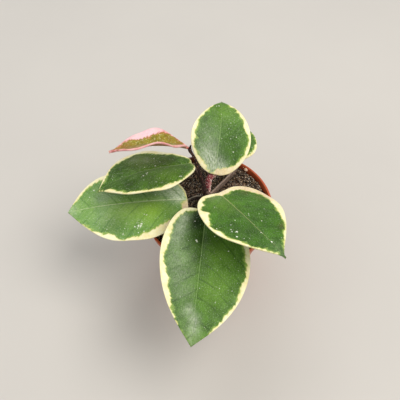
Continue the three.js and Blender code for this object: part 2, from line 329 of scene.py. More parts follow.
@dataclass(frozen=True)
class LeafCuticle:
    """The waxy skin of a variegated leaf: green tissue edged with tissue that has no chlorophyll.

    A hoya's cuticle is a smooth thick wax over fine cells, so the eye sees a broad soft sheen over a mottled green,
    a crisp line with small flames where the green stops, and pale flecks where air lies under the skin. Patches of
    painted shade and of a whitish painted sheen are laid into its colour as well.

    Attributes:
        deep: The darker of the two greens that the tissue is mottled with.
        fresh: The lighter of the two.
        pale: The washed-out green beside the edge.
        turning: The thin line where green turns to cream.
        edge: The edge's cream.
        edge_warm: The edge's warmer patches.
        vein: The side veins.
        rib: The midrib's line.
        bright, shade, olive, blush, bloom, fleck: What its patches turn to; shade is painted shade, bloom painted
        sheen.
        under: What the underside's tissue turns to.
        lobes: How far the green's border swings in and out, in millimetres.
        flames: How far the border's narrow flames reach, in millimetres.
        dust: How strongly the finest flecks show, from 0 to 1.
        dust_size: Their size, in millimetres.
        vein_share: How strongly the side veins show.
        rib_share: How strongly the midrib's line shows.
        rib_width: How wide it is, against a fine line.
        roughness: Of the wax.
        glow: The share of light that scatters inside the flesh.
    """

    deep: str = "#35581c"
    fresh: str = "#5b8730"
    pale: str = "#8fae52"
    turning: str = "#b9c453"
    edge: str = "#faf6d0"
    edge_warm: str = "#f5e8ac"
    vein: str = "#2c4a1a"
    rib: str = "#93b06f"
    bright: str = "#7eab39"
    shade: str = "#152e00"
    olive: str = "#63502c"
    blush: str = "#d3b79b"
    painted_sheen: str = "#ccd6c2"
    fleck: str = "#f1f6ea"
    under: str = "#8fa873"
    lobes: float = 1.2
    flames: float = 2.8
    dust: float = 0.3
    dust_size: float = 0.6
    vein_share: float = 0.42
    rib_share: float = 0.62
    rib_width: float = 1.0
    roughness: float = 0.38
    glow: float = 0.08

    def build(self, name: str) -> bpy.types.Material:
        """Makes the material for one leaf.

        Args:
            name: The leaf's name.

        Returns:
            The material, which reads the blade's attributes.
        """
        fixed = {
            "IOR": 1.45,  # plant wax
            "Specular IOR Level": 0.26,
            "Subsurface Weight": self.glow,
            "Subsurface Scale": 1.0 * MM,
            "Subsurface Radius": (1.0, 0.9, 0.35),
            "Coat Weight": 0.04,
            "Coat Roughness": 0.3,
            "Coat IOR": 1.45,
        }
        material, shader, add = new_material("waxy_cuticle_" + name, fixed)
        flat, margin = (add("Attribute", output="Vector", attribute_name=key) for key in ("flat", "margin"))
        keys = ("cream", "vein", "rib", "face", *(tint.value for tint in Tint))
        read = {key: add("Attribute", output="Fac", attribute_name=key) for key in keys}

        # Each pattern's scale is one over the size of its marks in millimetres.
        mottle = add("TexNoise", {"Vector": flat, "Scale": 1 / 5.5, "Detail": 3.0, "Roughness": 0.6})
        cells = add("TexNoise", {"Vector": flat, "Scale": 1 / 0.8, "Detail": 2.0, "Roughness": 0.7})
        tone = add("Math", {0: cells, 1: 0.85, 2: mottle}, operation="MULTIPLY_ADD")
        tone = add("MapRange", {"Value": tone, "From Min": 0.66, "From Max": 1.2})
        veins = self.veins(add, flat, read["vein"])
        pale, turning, edge = self.border(add, margin, read["cream"])
        rib = {"Value": read["rib"], "From Min": self.rib_width, "From Max": 0.3, "To Max": self.rib_share}
        rib = add("MapRange", rib, interpolation_type="SMOOTHSTEP")
        # Painted sheen: whitish-grey patches, broken along the leaf, where the wax is drawn as if it reflected the
        # light.
        along = add("VectorMath", {0: flat, 1: (0.75, 1.4, 1.0)}, operation="MULTIPLY")
        streaks = add("TexNoise", {"Vector": along, "Scale": 1.0, "Detail": 4.0, "Roughness": 0.75})
        streaks = add("MapRange", {"Value": streaks, "From Min": 0.3, "From Max": 0.6, "To Max": 0.85})
        painted_sheen = add("Math", {0: streaks, 1: read["painted_sheen"]}, operation="MULTIPLY")
        below = add("Math", {0: read["face"], 1: -0.62, 2: 0.62}, operation="MULTIPLY_ADD")
        grained = []
        for key, low in (("olive", 0.34), ("blush", 0.0)):
            grain = add("MapRange", {"Value": cells, "From Min": low, "From Max": 0.6})
            grained.append(add("Math", {0: grain, 1: read[key]}, operation="MULTIPLY"))
        olive, blush = grained
        warm = add("TexNoise", {"Vector": flat, "Scale": 1 / 3.2, "Detail": 4.0, "Roughness": 0.65})
        warm = add("MapRange", {"Value": warm, "From Min": 0.42, "From Max": 0.68})
        cream = lay_over(add, self.edge, ((warm, self.edge_warm), (blush, self.blush)))

        layers = (
            (tone, self.fresh),
            (read["bright"], self.bright),
            (read["shade"], self.shade),
            (olive, self.olive),
            (pale, self.pale),
            (rib, self.rib),
            (painted_sheen, self.painted_sheen),
            (veins, self.vein),
            (self.flecks(add, flat, read["fleck"]), self.fleck),
            (below, self.under),
            (edge, cream),
            (turning, self.turning),
        )
        colour = lay_over(add, self.deep, layers)

        polish = add("TexNoise", {"Vector": flat, "Scale": 1 / 2.4, "Detail": 3.0})
        gloss = {"To Min": self.roughness - 0.05, "To Max": self.roughness + 0.08}
        polish = add("MapRange", {"Value": polish, "From Min": 0.3, "From Max": 0.7} | gloss)
        rough = add("Mix", {0: below, 2: polish, 3: 0.7})
        relief = add("Math", {0: cells, 1: 0.7, 2: veins}, operation="MULTIPLY_ADD")
        bump = add("Bump", {"Height": relief, "Strength": 0.35, "Distance": 0.12 * MM}, invert=True)
        feed(shader, {"Base Color": colour, "Roughness": rough, "Normal": bump})
        return material

    def veins(self, add: Adder, flat: Socket, phase: Socket) -> Socket:
        """The side veins and the faint net between them.

        Args:
            add: Adds a node to the material.
            flat: Places on the leaf, in millimetres.
            phase: Counts the side veins; each lies at a whole number.

        Returns:
            How strongly a vein shows, from 0 to 1.
        """
        off = add("Math", {0: phase, 1: 0.5}, operation="PINGPONG")
        line = {"Value": off, "From Min": 0.11, "From Max": 0.0, "To Max": self.vein_share}
        line = add("MapRange", line, interpolation_type="SMOOTHSTEP")
        net = add("TexVoronoi", {"Vector": flat, "Scale": 1 / 2.6}, "Distance", feature="DISTANCE_TO_EDGE")
        net = {"Value": net, "From Min": 0.09, "From Max": 0.0, "To Max": 0.2}
        net = add("MapRange", net, interpolation_type="SMOOTHSTEP")
        fade = add("TexNoise", {"Vector": flat, "Scale": 1 / 7.0, "Detail": 1.0})
        fade = add("MapRange", {"Value": fade, "From Min": 0.3, "From Max": 0.58})
        line = add("Math", {0: line, 1: fade}, operation="MULTIPLY")
        return add("Math", {0: line, 1: net}, operation="MAXIMUM")

    def border(self, add: Adder, margin: Socket, inside: Socket) -> list[Socket]:
        """The line where the green stops, with its lobes and flames.

        Args:
            add: Adds a node to the material.
            margin: Places along the leaf's margin and, pressed together, in from it, in millimetres.
            inside: Millimetres inside the smooth border; negative in the cream.

        Returns:
            The share of washed-out green beside it, of turning green on it, and of cream beyond it.
        """
        reach = inside
        for size, swing, detail in ((4.8, self.lobes, 1.0), (2.0, self.flames, 4.0)):
            swings = add("TexNoise", {"Vector": margin, "Scale": 1 / size, "Detail": detail})
            swings = add("MapRange", {"Value": swings, "To Min": -swing / 2, "To Max": swing / 2}, clamp=False)
            reach = add("Math", {0: reach, 1: swings}, operation="ADD")
        patch = add("TexNoise", {"Vector": margin, "Scale": 1 / 3.2, "Detail": 2.0})
        patch = add("Math", {0: patch, 1: -4.2, 2: reach}, operation="MULTIPLY_ADD")
        off = add("Math", {0: reach, 1: 0.15}, operation="ADD")
        off = add("Math", {0: off}, operation="ABSOLUTE")
        shares = []
        for value, none, full, most in ((patch, -1.1, -2.1, 0.8), (off, 0.6, 0.05, 0.4), (reach, 0.12, -0.16, 1.0)):
            share = {"Value": value, "From Min": none, "From Max": full, "To Max": most}
            shares.append(add("MapRange", share, interpolation_type="SMOOTHSTEP"))
        return shares

    def flecks(self, add: Adder, flat: Socket, density: Socket) -> Socket:
        """The small silvery dots.

        Args:
            add: Adds a node to the material.
            flat: Places on the leaf, in millimetres.
            density: How thick they are on the leaf at each place, from 0 to 1.

        Returns:
            The share of silver.
        """
        spread = 1.05  # millimetres from dot to dot where they are thick
        dots = add("TexVoronoi", {"Vector": flat, "Scale": 1 / spread}, "Distance")
        rare = add("SeparateColor", {0: dots.node.outputs["Color"]})
        rare = add("MapRange", {"Value": rare, "From Min": 0.92, "From Max": 1.0, "To Max": 0.36})
        size = add("Math", {0: density, 1: 0.62, 2: rare}, operation="MULTIPLY_ADD")
        rag = add("TexNoise", {"Vector": flat, "Scale": 1 / 0.5, "Detail": 1.0})
        rag = add("Math", {0: rag, 1: 0.4, 2: dots}, operation="MULTIPLY_ADD")
        inside = add("Math", {0: size, 1: rag}, operation="SUBTRACT")
        share = {"Value": inside, "From Min": -0.16, "From Max": 0.0, "To Max": 0.95}
        share = add("MapRange", share, interpolation_type="SMOOTHSTEP")
        dust = add("TexNoise", {"Vector": flat, "Scale": 1 / self.dust_size, "Detail": 2.0, "Roughness": 0.8})
        dust = add("MapRange", {"Value": dust, "From Min": 0.56, "From Max": 0.76, "To Max": self.dust})
        return add("Math", {0: share, 1: dust}, operation="MAXIMUM")


@dataclass(frozen=True)
class StalkSkin:
    """The smooth skin of a petiole or a young vine: green flesh flushed red where the sun reaches it.

    It is a living epidermis with a thin wax, so it shows streaks along its length, pale pores and a satin gloss.
    The side that faces one fixed way is drawn paler, with larger pores, as a painted highlight.

    Attributes:
        flesh: Its main colour.
        flush: The colour of its streaks.
        pores: The colour of its flecks.
        pore_share: How much of it the flecks cover.
        painted_highlight: The colour of the painted highlight, on the side that faces highlight_way.
        highlight_way: Which way the side with the painted highlight faces.
        highlight_share: How strongly the painted highlight shows.
        highlight_start: How nearly a face must face that way to take the painted highlight, from -1 to 1.
        under_leaf: What it turns to where it runs on as a midrib.
        roughness: Of its wax.
    """

    flesh: str = "#43302a"
    flush: str = "#2c1e1b"
    pores: str = "#8c7466"
    pore_share: float = 0.15
    painted_highlight: str = "#8d7468"
    highlight_way: Point = (0.1, 0.3, 1.0)
    highlight_share: float = 0.3
    highlight_start: float = 0.45
    under_leaf: str = "#8da06a"
    roughness: float = 0.55

    def build(self, name: str) -> bpy.types.Material:
        """Makes the material for one stalk.

        Args:
            name: The stalk's name.

        Returns:
            The material, which reads the "leafy" attribute.
        """
        fixed = {
            "IOR": 1.42,  # a thin, watery skin
            "Specular IOR Level": 0.3,
            "Subsurface Weight": 0.06,
            "Subsurface Scale": 0.8 * MM,
        }
        material, shader, add = new_material("stalk_skin_" + name, fixed)
        place = in_millimetres(add)
        streak = add("TexNoise", {"Vector": place, "Scale": 1 / 1.4, "Detail": 4.0, "Roughness": 0.7})
        streak = add("MapRange", {"Value": streak, "From Min": 0.38, "From Max": 0.66})
        # Painted highlight: the side that faces highlight_way is laid over with the paler ridge colour.
        facing = {0: add("NewGeometry", output="Normal"), 1: Vector(self.highlight_way).normalized()}
        facing = add("VectorMath", facing, "Value", operation="DOT_PRODUCT")
        facing = {"Value": facing, "From Min": self.highlight_start, "From Max": 0.96}
        facing = add("MapRange", facing, interpolation_type="SMOOTHSTEP")
        painted_highlight = add("Math", {0: facing, 1: self.highlight_share}, operation="MULTIPLY")
        pores = add("TexVoronoi", {"Vector": place, "Scale": 1 / 0.85}, "Distance")
        # The pale pores grow larger on that side, which is painted highlight too.
        wide = {0: facing, 1: 0.3 * self.pore_share, 2: 0.35 * self.pore_share}
        wide = add("Math", wide, operation="MULTIPLY_ADD")
        pores = add("Math", {0: wide, 1: pores}, operation="SUBTRACT")
        pores = {"Value": pores, "From Min": -0.14, "From Max": 0.02, "To Max": 0.85}
        pores = add("MapRange", pores, interpolation_type="SMOOTHSTEP")
        leafy = add("Attribute", output="Fac", attribute_name="leafy")
        layers = ((streak, self.flush), (painted_highlight, self.painted_highlight), (pores, self.pores), (leafy, self.under_leaf))
        colour = lay_over(add, self.flesh, layers)
        rough = {"Value": streak, "To Min": self.roughness - 0.06, "To Max": self.roughness + 0.12}
        rough = add("MapRange", rough)
        bump = add("Bump", {"Height": streak, "Strength": 0.6, "Distance": 0.14 * MM})
        feed(shader, {"Base Color": colour, "Roughness": rough, "Normal": bump})
        return material


@dataclass(frozen=True)
class MouldedPolypropylene:
    """Injection-moulded polypropylene, coloured right through like fired clay.

    The mould leaves a satin face with a fine even grain; handling adds faint scuffs, and potting leaves specks of peat
    dust, most low on the wall and inside the collar. Inside, a darker layer towards the soil is painted shade, and the
    same darker layer lies round the foot and over the lip at the back.

    Attributes:
        colour: Its own colour.
        faded: The colour of its paler clouds and scuffs.
        shade_film: The darker layer's colour: painted shade inside towards the soil, and darker round the foot and
            back lip.
        dust: The specks of peat that cling to it.
        roughness: Of the moulded face.
    """

    colour: str = "#b8532c"
    faded: str = "#cd6f48"
    shade_film: str = "#7c2a10"
    dust: str = "#4a3022"
    roughness: float = 0.42

    def build(self) -> bpy.types.Material:
        """Makes the material.

        Returns:
            The material, which reads the pot's "dusty" attribute.
        """
        fixed = {"IOR": 1.49, "Subsurface Weight": 0.05, "Subsurface Scale": 1.0 * MM}
        material, shader, add = new_material("moulded_polypropylene", fixed)
        place = in_millimetres(add)
        cloud = add("TexNoise", {"Vector": place, "Scale": 1 / 14.0, "Detail": 4.0, "Roughness": 0.6})
        cloud = add("MapRange", {"Value": cloud, "From Min": 0.4, "From Max": 0.75})
        stretched = add("VectorMath", {0: place, 1: (1.0, 1.0, 0.06)}, operation="MULTIPLY")
        scuff = add("TexNoise", {"Vector": stretched, "Scale": 1 / 0.8, "Detail": 5.0, "Roughness": 0.8})
        scuff = add("MapRange", {"Value": scuff, "From Min": 0.63, "From Max": 0.75, "To Max": 0.35})
        # Inside towards the soil the darker layer is painted shade, also laid round the foot and the back lip; specks
        # are peat.
        dust_and_shade = add("Attribute", output="Fac", attribute_name="dust_and_shade")
        shade_film = add("MapRange", {"Value": dust_and_shade, "From Max": 1.0, "To Max": 0.6})
        specks = add("TexNoise", {"Vector": place, "Scale": 1 / 1.3, "Detail": 4.0, "Roughness": 0.75})
        specks = add("Math", {0: specks, 1: dust_and_shade}, operation="MULTIPLY")
        specks = {"Value": specks, "From Min": 0.3, "From Max": 0.55, "To Max": 0.85}
        specks = add("MapRange", specks, interpolation_type="SMOOTHSTEP")
        layers = ((cloud, self.faded), (scuff, self.faded), (shade_film, self.shade_film), (specks, self.dust))
        colour = lay_over(add, self.colour, layers)
        rough = add("Math", {0: specks, 1: 0.4, 2: self.roughness}, operation="MULTIPLY_ADD")
        rough = add("Math", {0: scuff, 1: 0.3, 2: rough}, operation="MULTIPLY_ADD")
        grain = add("TexNoise", {"Vector": place, "Scale": 1 / 0.45, "Detail": 2.0})
        bump = add("Bump", {"Height": grain, "Strength": 0.25, "Distance": 0.05 * MM})
        feed(shader, {"Base Color": colour, "Roughness": rough, "Normal": bump})
        return material


@dataclass(frozen=True)
class MoistPeat:
    """Moist sieved peat, the fibrous brown remains of moss, with fine sand in it.

    Wet peat is nearly black in its hollows. Its drier crumbs and fibres show as tan specks and its sand as pale ones,
    both drawn about twice as coarse as they are, since finer ones wouldn't show.

    Attributes:
        wet: The colour of its hollows.
        dry: The colour of its drier crumbs.
        speck: The colour of its tan specks.
        sand: The colour of its pale specks.
        speck_share: How much of it the tan specks cover.
        sand_share: How much of it the pale specks cover.
        grain: The size of its crumbs, in millimetres.
    """

    wet: str = "#0f0907"
    dry: str = "#4c3d33"
    speck: str = "#a58a70"
    sand: str = "#ded6ca"
    speck_share: float = 0.22
    sand_share: float = 0.09
    grain: float = 0.7

    def build(self, name: str) -> bpy.types.Material:
        """Makes the material.

        Args:
            name: What it covers.

        Returns:
            The material.
        """
        fixed = {"IOR": 1.4, "Specular IOR Level": 0.3}
        material, shader, add = new_material("moist_peat_" + name, fixed)
        place = in_millimetres(add)
        lumps = {"Vector": place, "Scale": 1 / (2.2 * self.grain), "Detail": 5.0, "Roughness": 0.75}
        lumps = add("TexNoise", lumps)
        tone = add("MapRange", {"Value": lumps, "From Min": 0.38, "From Max": 0.68})
        layers = [(tone, self.dry)]
        for over, share, size in ((self.speck, self.speck_share, 0.8), (self.sand, self.sand_share, 0.55)):
            bits = add("TexVoronoi", {"Vector": place, "Scale": 1 / (size * self.grain)}, "Color")
            lot = add("SeparateColor", {0: bits})
            bits = {"Value": lot, "From Min": 1 - share, "From Max": 1.03 - 0.7 * share, "To Max": 0.9}
            layers.append((add("MapRange", bits), over))
        colour = lay_over(add, self.wet, layers)
        rough = add("MapRange", {"Value": tone, "To Min": 0.6, "To Max": 0.95})
        bump = add("Bump", {"Height": lumps, "Strength": 0.9, "Distance": 0.6 * self.grain * MM})
        feed(shader, {"Base Color": colour, "Roughness": rough, "Normal": bump})
        return material


@dataclass(frozen=True)
class ExpandedPerlite:
    """Expanded perlite, a volcanic glass puffed up by heat: a pale porous grit, tinted by the peat that it lies in.

    Attributes:
        glass: The colour of its skin.
        pore: The colour of its open pores.
    """

    glass: str = "#f6d6bc"
    pore: str = "#cf9f80"

    def build(self) -> bpy.types.Material:
        """Makes the material.

        Returns:
            The material.
        """
        material, shader, add = new_material("expanded_perlite", {"IOR": 1.5, "Roughness": 0.85})
        bubbles = {"Vector": in_millimetres(add), "Scale": 1 / 0.45}
        bubbles = add("TexVoronoi", bubbles, "Distance")
        pores = add("MapRange", {"Value": bubbles, "From Min": 0.5, "From Max": 0.1})
        bump = add("Bump", {"Height": bubbles, "Strength": 0.6, "Distance": 0.15 * MM})
        feed(shader, {"Base Color": lay_over(add, self.glass, [(pores, self.pore)]), "Normal": bump})
        return material


@dataclass(frozen=True)
class BackdropPaper:
    """Seamless studio paper: matt, nearly white, with a faint cloudiness from how the light falls on its fibres.

    Attributes:
        colour: Its main tone.
        cloud: The tone of its clouds.
    """

    colour: str = "#cfcdca"
    cloud: str = "#c7c5c3"

    def build(self) -> bpy.types.Material:
        """Makes the material.

        Returns:
            The material.
        """
        material, shader, add = new_material("backdrop_paper", {"Roughness": 0.92, "Specular IOR Level": 0.2})
        cloud = {"Vector": add("TexCoord", output="Object"), "Scale": 9.0, "Detail": 3.0}
        cloud = add("TexNoise", cloud)
        feed(shader, {"Base Color": lay_over(add, self.colour, [(cloud, self.cloud)])})
        return material


@dataclass(frozen=True)
class Midrib:
    """How a midrib runs: its compass heading and upward slope at the base, in degrees, and what they change by.

    A high droop_power keeps the droop for the tip.
    """

    heading: float
    turn: float
    rise: float
    droop: float
    droop_power: float


@dataclass(frozen=True)
class Outline:
    """A blade's outline.

    Attributes:
        fullness: How full the base is.
        taper: How early the blade narrows to its tip.
        drip: How much the very tip narrows.
        lobe: How far the base lobes reach back, in millimetres.
        lean: How much wider the left half is.
        skew: How far the left half is pushed forwards.
    """

    fullness: float
    taper: float
    drip: float
    lobe: float
    lean: float = 0.0
    skew: float = 0.0


@dataclass(frozen=True)
class Section:
    """How a blade lies across its midrib, in degrees: tipped by roll, its halves raised by fold, then by curl."""

    roll: float
    fold: float
    curl: float


@dataclass(frozen=True)
class Waves:
    """A margin's waves: their height in millimetres, their number along the leaf, and the first one's phase."""

    height: float
    count: float
    phase: float


@dataclass(frozen=True)
class Leaf:
    """One leaf: a blade on a petiole that runs on under it as the midrib.

    Attributes:
        name: The CAD node that it stands for.
        node: Where the petiole leaves the stem, in millimetres.
        petiole: Points that it passes through.
        petiole_radius: Its radius.
        base: Where the blade begins.
        length: The blade's length.
        width: Its width.
        midrib, outline, section, waves: Its shape.
        left_edge: The cream edge's width in millimetres at shares of the length, on the left half.
        right_edge: The same on the right half.
        patches: For each tint, its round patches: where each lies along the length, from 0 to 1, and across, from
            -1 at the right margin to 1 at the left, its radius in millimetres, and its strength from 0 to 1.
        skin: Its finish.
        stalk_skin: Its petiole's finish.
        slot: The record's material slot; not used.
        vein_gap: From one side vein to the next, in millimetres.
        seed: Sets its unevenness and its pattern apart from the other leaves'.
        rows, columns: How finely its mesh is divided along and across.
    """

    name: str
    node: Point
    petiole: tuple[Point, ...]
    petiole_radius: float
    base: Point
    length: float
    width: float
    midrib: Midrib
    outline: Outline
    section: Section
    waves: Waves
    left_edge: tuple[tuple[float, float], ...]
    right_edge: tuple[tuple[float, float], ...]
    patches: dict[Tint, tuple[Patch, ...]] = field(default_factory=dict)
    skin: LeafCuticle = LeafCuticle()
    stalk_skin: StalkSkin = StalkSkin()
    slot: str = "leaf"
    vein_gap: float = 8.0
    seed: int = 0
    rows: int = 180
    columns: int = 72

    # The blade's outline and body, in millimetres and in shares of its length.
    SPINE_STEPS = 240
    MARGIN_STEPS = 360
    LOBE_PLACE = 0.08
    LOBE_POWER = 1.3
    DRIP_LENGTH = 0.1
    NARROWEST_HALF = 0.25
    RIGHT_WAVE_SHIFT = 0.37
    MIDRIB_CROWDING = 0.7
    MIDRIB_THICKNESS = 1.5
    MARGIN_THICKNESS = 0.9
    RIM_ROUND = 0.45
    BUCKLES = ((0.32, 13.0), (0.1, 5.0))  # each with its height and its size
    PILLOW_HEIGHT, PILLOW_START, PILLOW_END, PILLOW_FADE, PILLOW_BELOW = 0.16, 2.2, 1.5, 4, 0.5
    GROOVE_DEPTH, GROOVE_REACH, GROOVE_FADE, GROOVE_END = 0.42, 0.75, 0.7, 2

    # Where its pattern runs, in millimetres.
    FLAME_LEAN = 0.6
    FLAME_PRESS = 0.4
    VEIN_LEAN = 0.62
    VEIN_ARCH = 0.021
    VEIN_ARCH_WIDTH = 20  # the blade's width at which the arch is as given
    VEIN_SWAY, VEIN_SWAY_LENGTH = 0.16, 9.0
    VEIN_WAVER, VEIN_WAVER_LENGTH = 0.1, 4.0
    VEIN_STAGGER = 0.42  # how far the right half's veins are off from the left half's, in gaps
    RIB_TIP, RIB_SWELL = 0.12, 0.34
    EDGE_BLEND = 0.3
    PATTERN_STEP = 40.0  # from one leaf's pattern to the next, so that no two are the same

    # The petiole's run under the blade.
    UNDER_STATIONS = 7
    UNDER_START, UNDER_RUN = 0.01, 0.79
    UNDER_TAPER = (0.8, 0.6)
    UNDER_SINK = 0.15
    LEAFY_LEAD, LEAFY_RUN = 0.3, 1.6  # in stations

    def spine(self) -> tuple[np.ndarray, np.ndarray]:
        """The midrib's line at even steps from the blade's base to its tip.

        Returns:
            Its points and its directions.
        """
        rib = self.midrib
        share = np.linspace(0, 1, self.SPINE_STEPS + 1)
        pitch = np.radians(rib.rise - rib.droop * share**rib.droop_power)
        heading = np.radians(rib.heading + rib.turn * share)
        flat = np.cos(pitch)
        ways = np.stack([flat * np.cos(heading), flat * np.sin(heading), np.sin(pitch)], 1)
        runs = (ways[1:] + ways[:-1]) / 2 * (self.length / self.SPINE_STEPS)
        points = np.concatenate([[np.zeros(3)], np.cumsum(runs, axis=0)]) + np.array(self.base)
        return points, ways

    def half_width(self, s: np.ndarray) -> np.ndarray:
        """Half the blade's width.

        Args:
            s: Shares of the length.

        Returns:
            Half the width at each, in millimetres.
        """
        shape = self.outline
        widest = shape.fullness / (shape.fullness + shape.taper)
        oval = (s / widest) ** shape.fullness * ((1 - s) / (1 - widest)) ** shape.taper
        narrowing = 1 - shape.drip * np.exp(-(1 - s) / self.DRIP_LENGTH)
        return np.maximum(self.width / 2 * oval * narrowing, self.NARROWEST_HALF)

    def flat_places(self, s: np.ndarray, v: np.ndarray) -> tuple[np.ndarray, np.ndarray]:
        """Where the blade's points lie when it is pressed flat.

        Args:
            s: Shares of the length.
            v: Places across, from -1 at the right margin to 1 at the left.

        Returns:
            Millimetres along the midrib and across it.
        """
        shape = self.outline
        backwards = s / self.LOBE_PLACE * np.exp(1 - s / self.LOBE_PLACE)
        across = self.half_width(s) * (1 + np.sign(v) * shape.lean) * v
        along = s * self.length - shape.lobe * backwards * np.abs(v) ** self.LOBE_POWER + shape.skew * across
        return along, across

    def surface(self, s: np.ndarray, v: np.ndarray) -> tuple[np.ndarray, np.ndarray]:
        """The blade's middle surface.

        Args:
            s: Shares of the length.
            v: Places across, from -1 at the right margin to 1 at the left.

        Returns:
            Points and upward normals.
        """
        along, across = self.flat_places(s, v)
        points, ways = self.spine()
        share = np.clip(along / self.length, 0, 1)
        grid = np.linspace(0, 1, self.SPINE_STEPS + 1)
        centre = np.stack([np.interp(share, grid, points[:, k]) for k in range(3)], -1)
        forward = np.stack([np.interp(share, grid, ways[:, k]) for k in range(3)], -1)
        forward /= np.linalg.norm(forward, axis=-1, keepdims=True)
        heading = np.radians(self.midrib.heading + self.midrib.turn * share)
        level = np.stack([-np.sin(heading), np.cos(heading), np.zeros_like(heading)], -1)
        above = np.cross(forward, level)
        roll = math.radians(self.section.roll)
        left = level * math.cos(roll) + above * math.sin(roll)
        up = above * math.cos(roll) - level * math.sin(roll)

        side, reach = np.sign(v), np.abs(across)
        start = math.radians(self.section.fold)
        bend = math.radians(self.section.curl) / (self.width / 2)
        slope = start + bend * reach
        sideways = (np.sin(slope) - math.sin(start)) / bend
        lift = (math.cos(start) - np.cos(slope)) / bend
        to_margin = (reach / (self.width / 2)) ** 2
        turns = self.waves.count * share + np.where(side > 0, 0, self.RIGHT_WAVE_SHIFT)
        lift = lift + self.waves.height * to_margin * np.sin(TURN * turns + self.waves.phase)
        middle = centre + forward * np.minimum(along, 0)[..., None]
        middle = middle + left * (side * sideways)[..., None] + up * lift[..., None]
        normal = up * np.cos(slope)[..., None] - left * (side * np.sin(slope))[..., None]
        return middle, normal

    def to_margin(self, along: np.ndarray, across: np.ndarray) -> tuple[np.ndarray, np.ndarray]:
        """Where points of the pressed blade lie from its outline.

        Args:
            along: Millimetres along the midrib.
            across: Millimetres to its left.

        Returns:
            Millimetres to the nearest point of the outline, and from the blade's base along the outline to there.
        """
        s = (1 - np.cos(np.linspace(0, np.pi, self.MARGIN_STEPS))) / 2
        rims, runs = [], []
        for side in (-1.0, 1.0):
            rim = np.stack(self.flat_places(s, np.full_like(s, side)), 1)
            rims.append(rim)
            runs.append(side * np.concatenate([[0], np.cumsum(np.linalg.norm(np.diff(rim, axis=0), axis=1))]))
        rim, run = np.concatenate(rims), np.concatenate(runs)
        gaps = np.hypot(along.ravel()[:, None] - rim[:, 0], across.ravel()[:, None] - rim[:, 1])
        nearest = gaps.argmin(axis=1)
        return gaps.min(axis=1).reshape(along.shape), run[nearest].reshape(along.shape)

    def vein_phase(self, along: np.ndarray, across: np.ndarray) -> np.ndarray:
        """Counts the side veins, which leave the midrib by turns on each side and arch towards the tip.

        Args:
            along: Millimetres along the midrib.
            across: Millimetres to its left.

        Returns:
            The count at each place; a vein lies at each whole number.
        """
        reach = np.abs(across)
        start = along - self.VEIN_LEAN * reach - self.VEIN_ARCH * reach**2 * (self.VEIN_ARCH_WIDTH / self.width)
        sway = self.VEIN_SWAY * np.sin(start / self.VEIN_SWAY_LENGTH + self.seed)
        waver = self.VEIN_WAVER * np.sin(across / self.VEIN_WAVER_LENGTH + 2 * self.seed)
        return start / self.vein_gap + sway + waver + np.where(across > 0, 0.0, self.VEIN_STAGGER)

    def blade(self) -> tuple[np.ndarray, list, dict[str, np.ndarray]]:
        """The blade as one closed skin with a rounded rim, a grooved midrib and low pillows between its veins.

        Returns:
            Its points, faces and attributes.
        """
        rows, columns = self.rows, self.columns
        s = ((1 - np.cos(np.pi * np.arange(rows + 1) / rows)) / 2)[:, None]
        u = np.linspace(-1, 1, columns + 1)
        v = (u - self.MIDRIB_CROWDING * np.sin(TURN * u) / TURN)[None, :]
        s, v = np.broadcast_arrays(s, v)
        along, across = self.flat_places(s, v)
        inside, run = self.to_margin(along, across)
        phase = self.vein_phase(along, across)
        middle, normal = self.surface(s, v)
        spots = np.stack([along, across, np.full_like(along, self.PATTERN_STEP * self.seed)], -1)

        buckle = sum(height * noise_at(spots, size).reshape(s.shape) for height, size in self.BUCKLES)
        middle = middle + normal * buckle[..., None]
        between = 0.5 - 0.5 * np.cos(TURN * phase)
        away = np.clip((inside - self.PILLOW_END) / self.PILLOW_FADE, 0, 1)
        pillow = self.PILLOW_HEIGHT * between * away * (1 - np.exp(-((across / self.PILLOW_START) ** 2)))
        groove = self.GROOVE_DEPTH * np.exp(-((across / self.GROOVE_REACH) ** 2))
        groove = groove * (1 - self.GROOVE_FADE * s) * np.clip(inside / self.GROOVE_END, 0, 1)
        thick = self.MIDRIB_THICKNESS + (self.MARGIN_THICKNESS - self.MIDRIB_THICKNESS) * np.abs(v)
        rounding = np.clip(inside / self.RIM_ROUND, 0, 1)
        half = thick / 2 * np.sqrt(1 - (1 - rounding) ** 2)
        upper = middle + normal * (half + pillow - groove)[..., None]
        lower = middle - normal * (half - self.PILLOW_BELOW * pillow)[..., None]

        count = (rows + 1) * (columns + 1)
        numbers = np.arange(count).reshape(rows + 1, columns + 1)
        below = numbers.copy()
        inner = (rows - 1) * (columns - 1)
        below[1:-1, 1:-1] = count + np.arange(inner).reshape(rows - 1, columns - 1)
        points = np.concatenate([upper.reshape(-1, 3), lower[1:-1, 1:-1].reshape(-1, 3)])
        top = np.stack([numbers[:-1, :-1], numbers[1:, :-1], numbers[1:, 1:], numbers[:-1, 1:]], -1)
        bottom = np.stack([below[:-1, :-1], below[:-1, 1:], below[1:, 1:], below[1:, :-1]], -1)
        faces = top.reshape(-1, 4).tolist() + bottom.reshape(-1, 4).tolist()

        rib_line = np.abs(across) / (self.RIB_TIP + self.RIB_SWELL * (1 - s))
        values = {"cream": inside - self.edge_width(s, v), "vein": phase, "rib": rib_line}
        values |= {tint.value: self.patched(tint, along, across) for tint in Tint}
        values["flat"] = spots
        values["margin"] = np.stack([run + self.FLAME_LEAN * inside, self.FLAME_PRESS * inside, spots[..., 2]], -1)
        shared = {}
        for key, grid in values.items():
            shape = (-1, *grid.shape[2:])
            shared[key] = np.concatenate([grid.reshape(shape), grid[1:-1, 1:-1].reshape(shape)])
        shared["face"] = np.concatenate([np.ones(count), np.zeros(inner)])
        return points, faces, shared

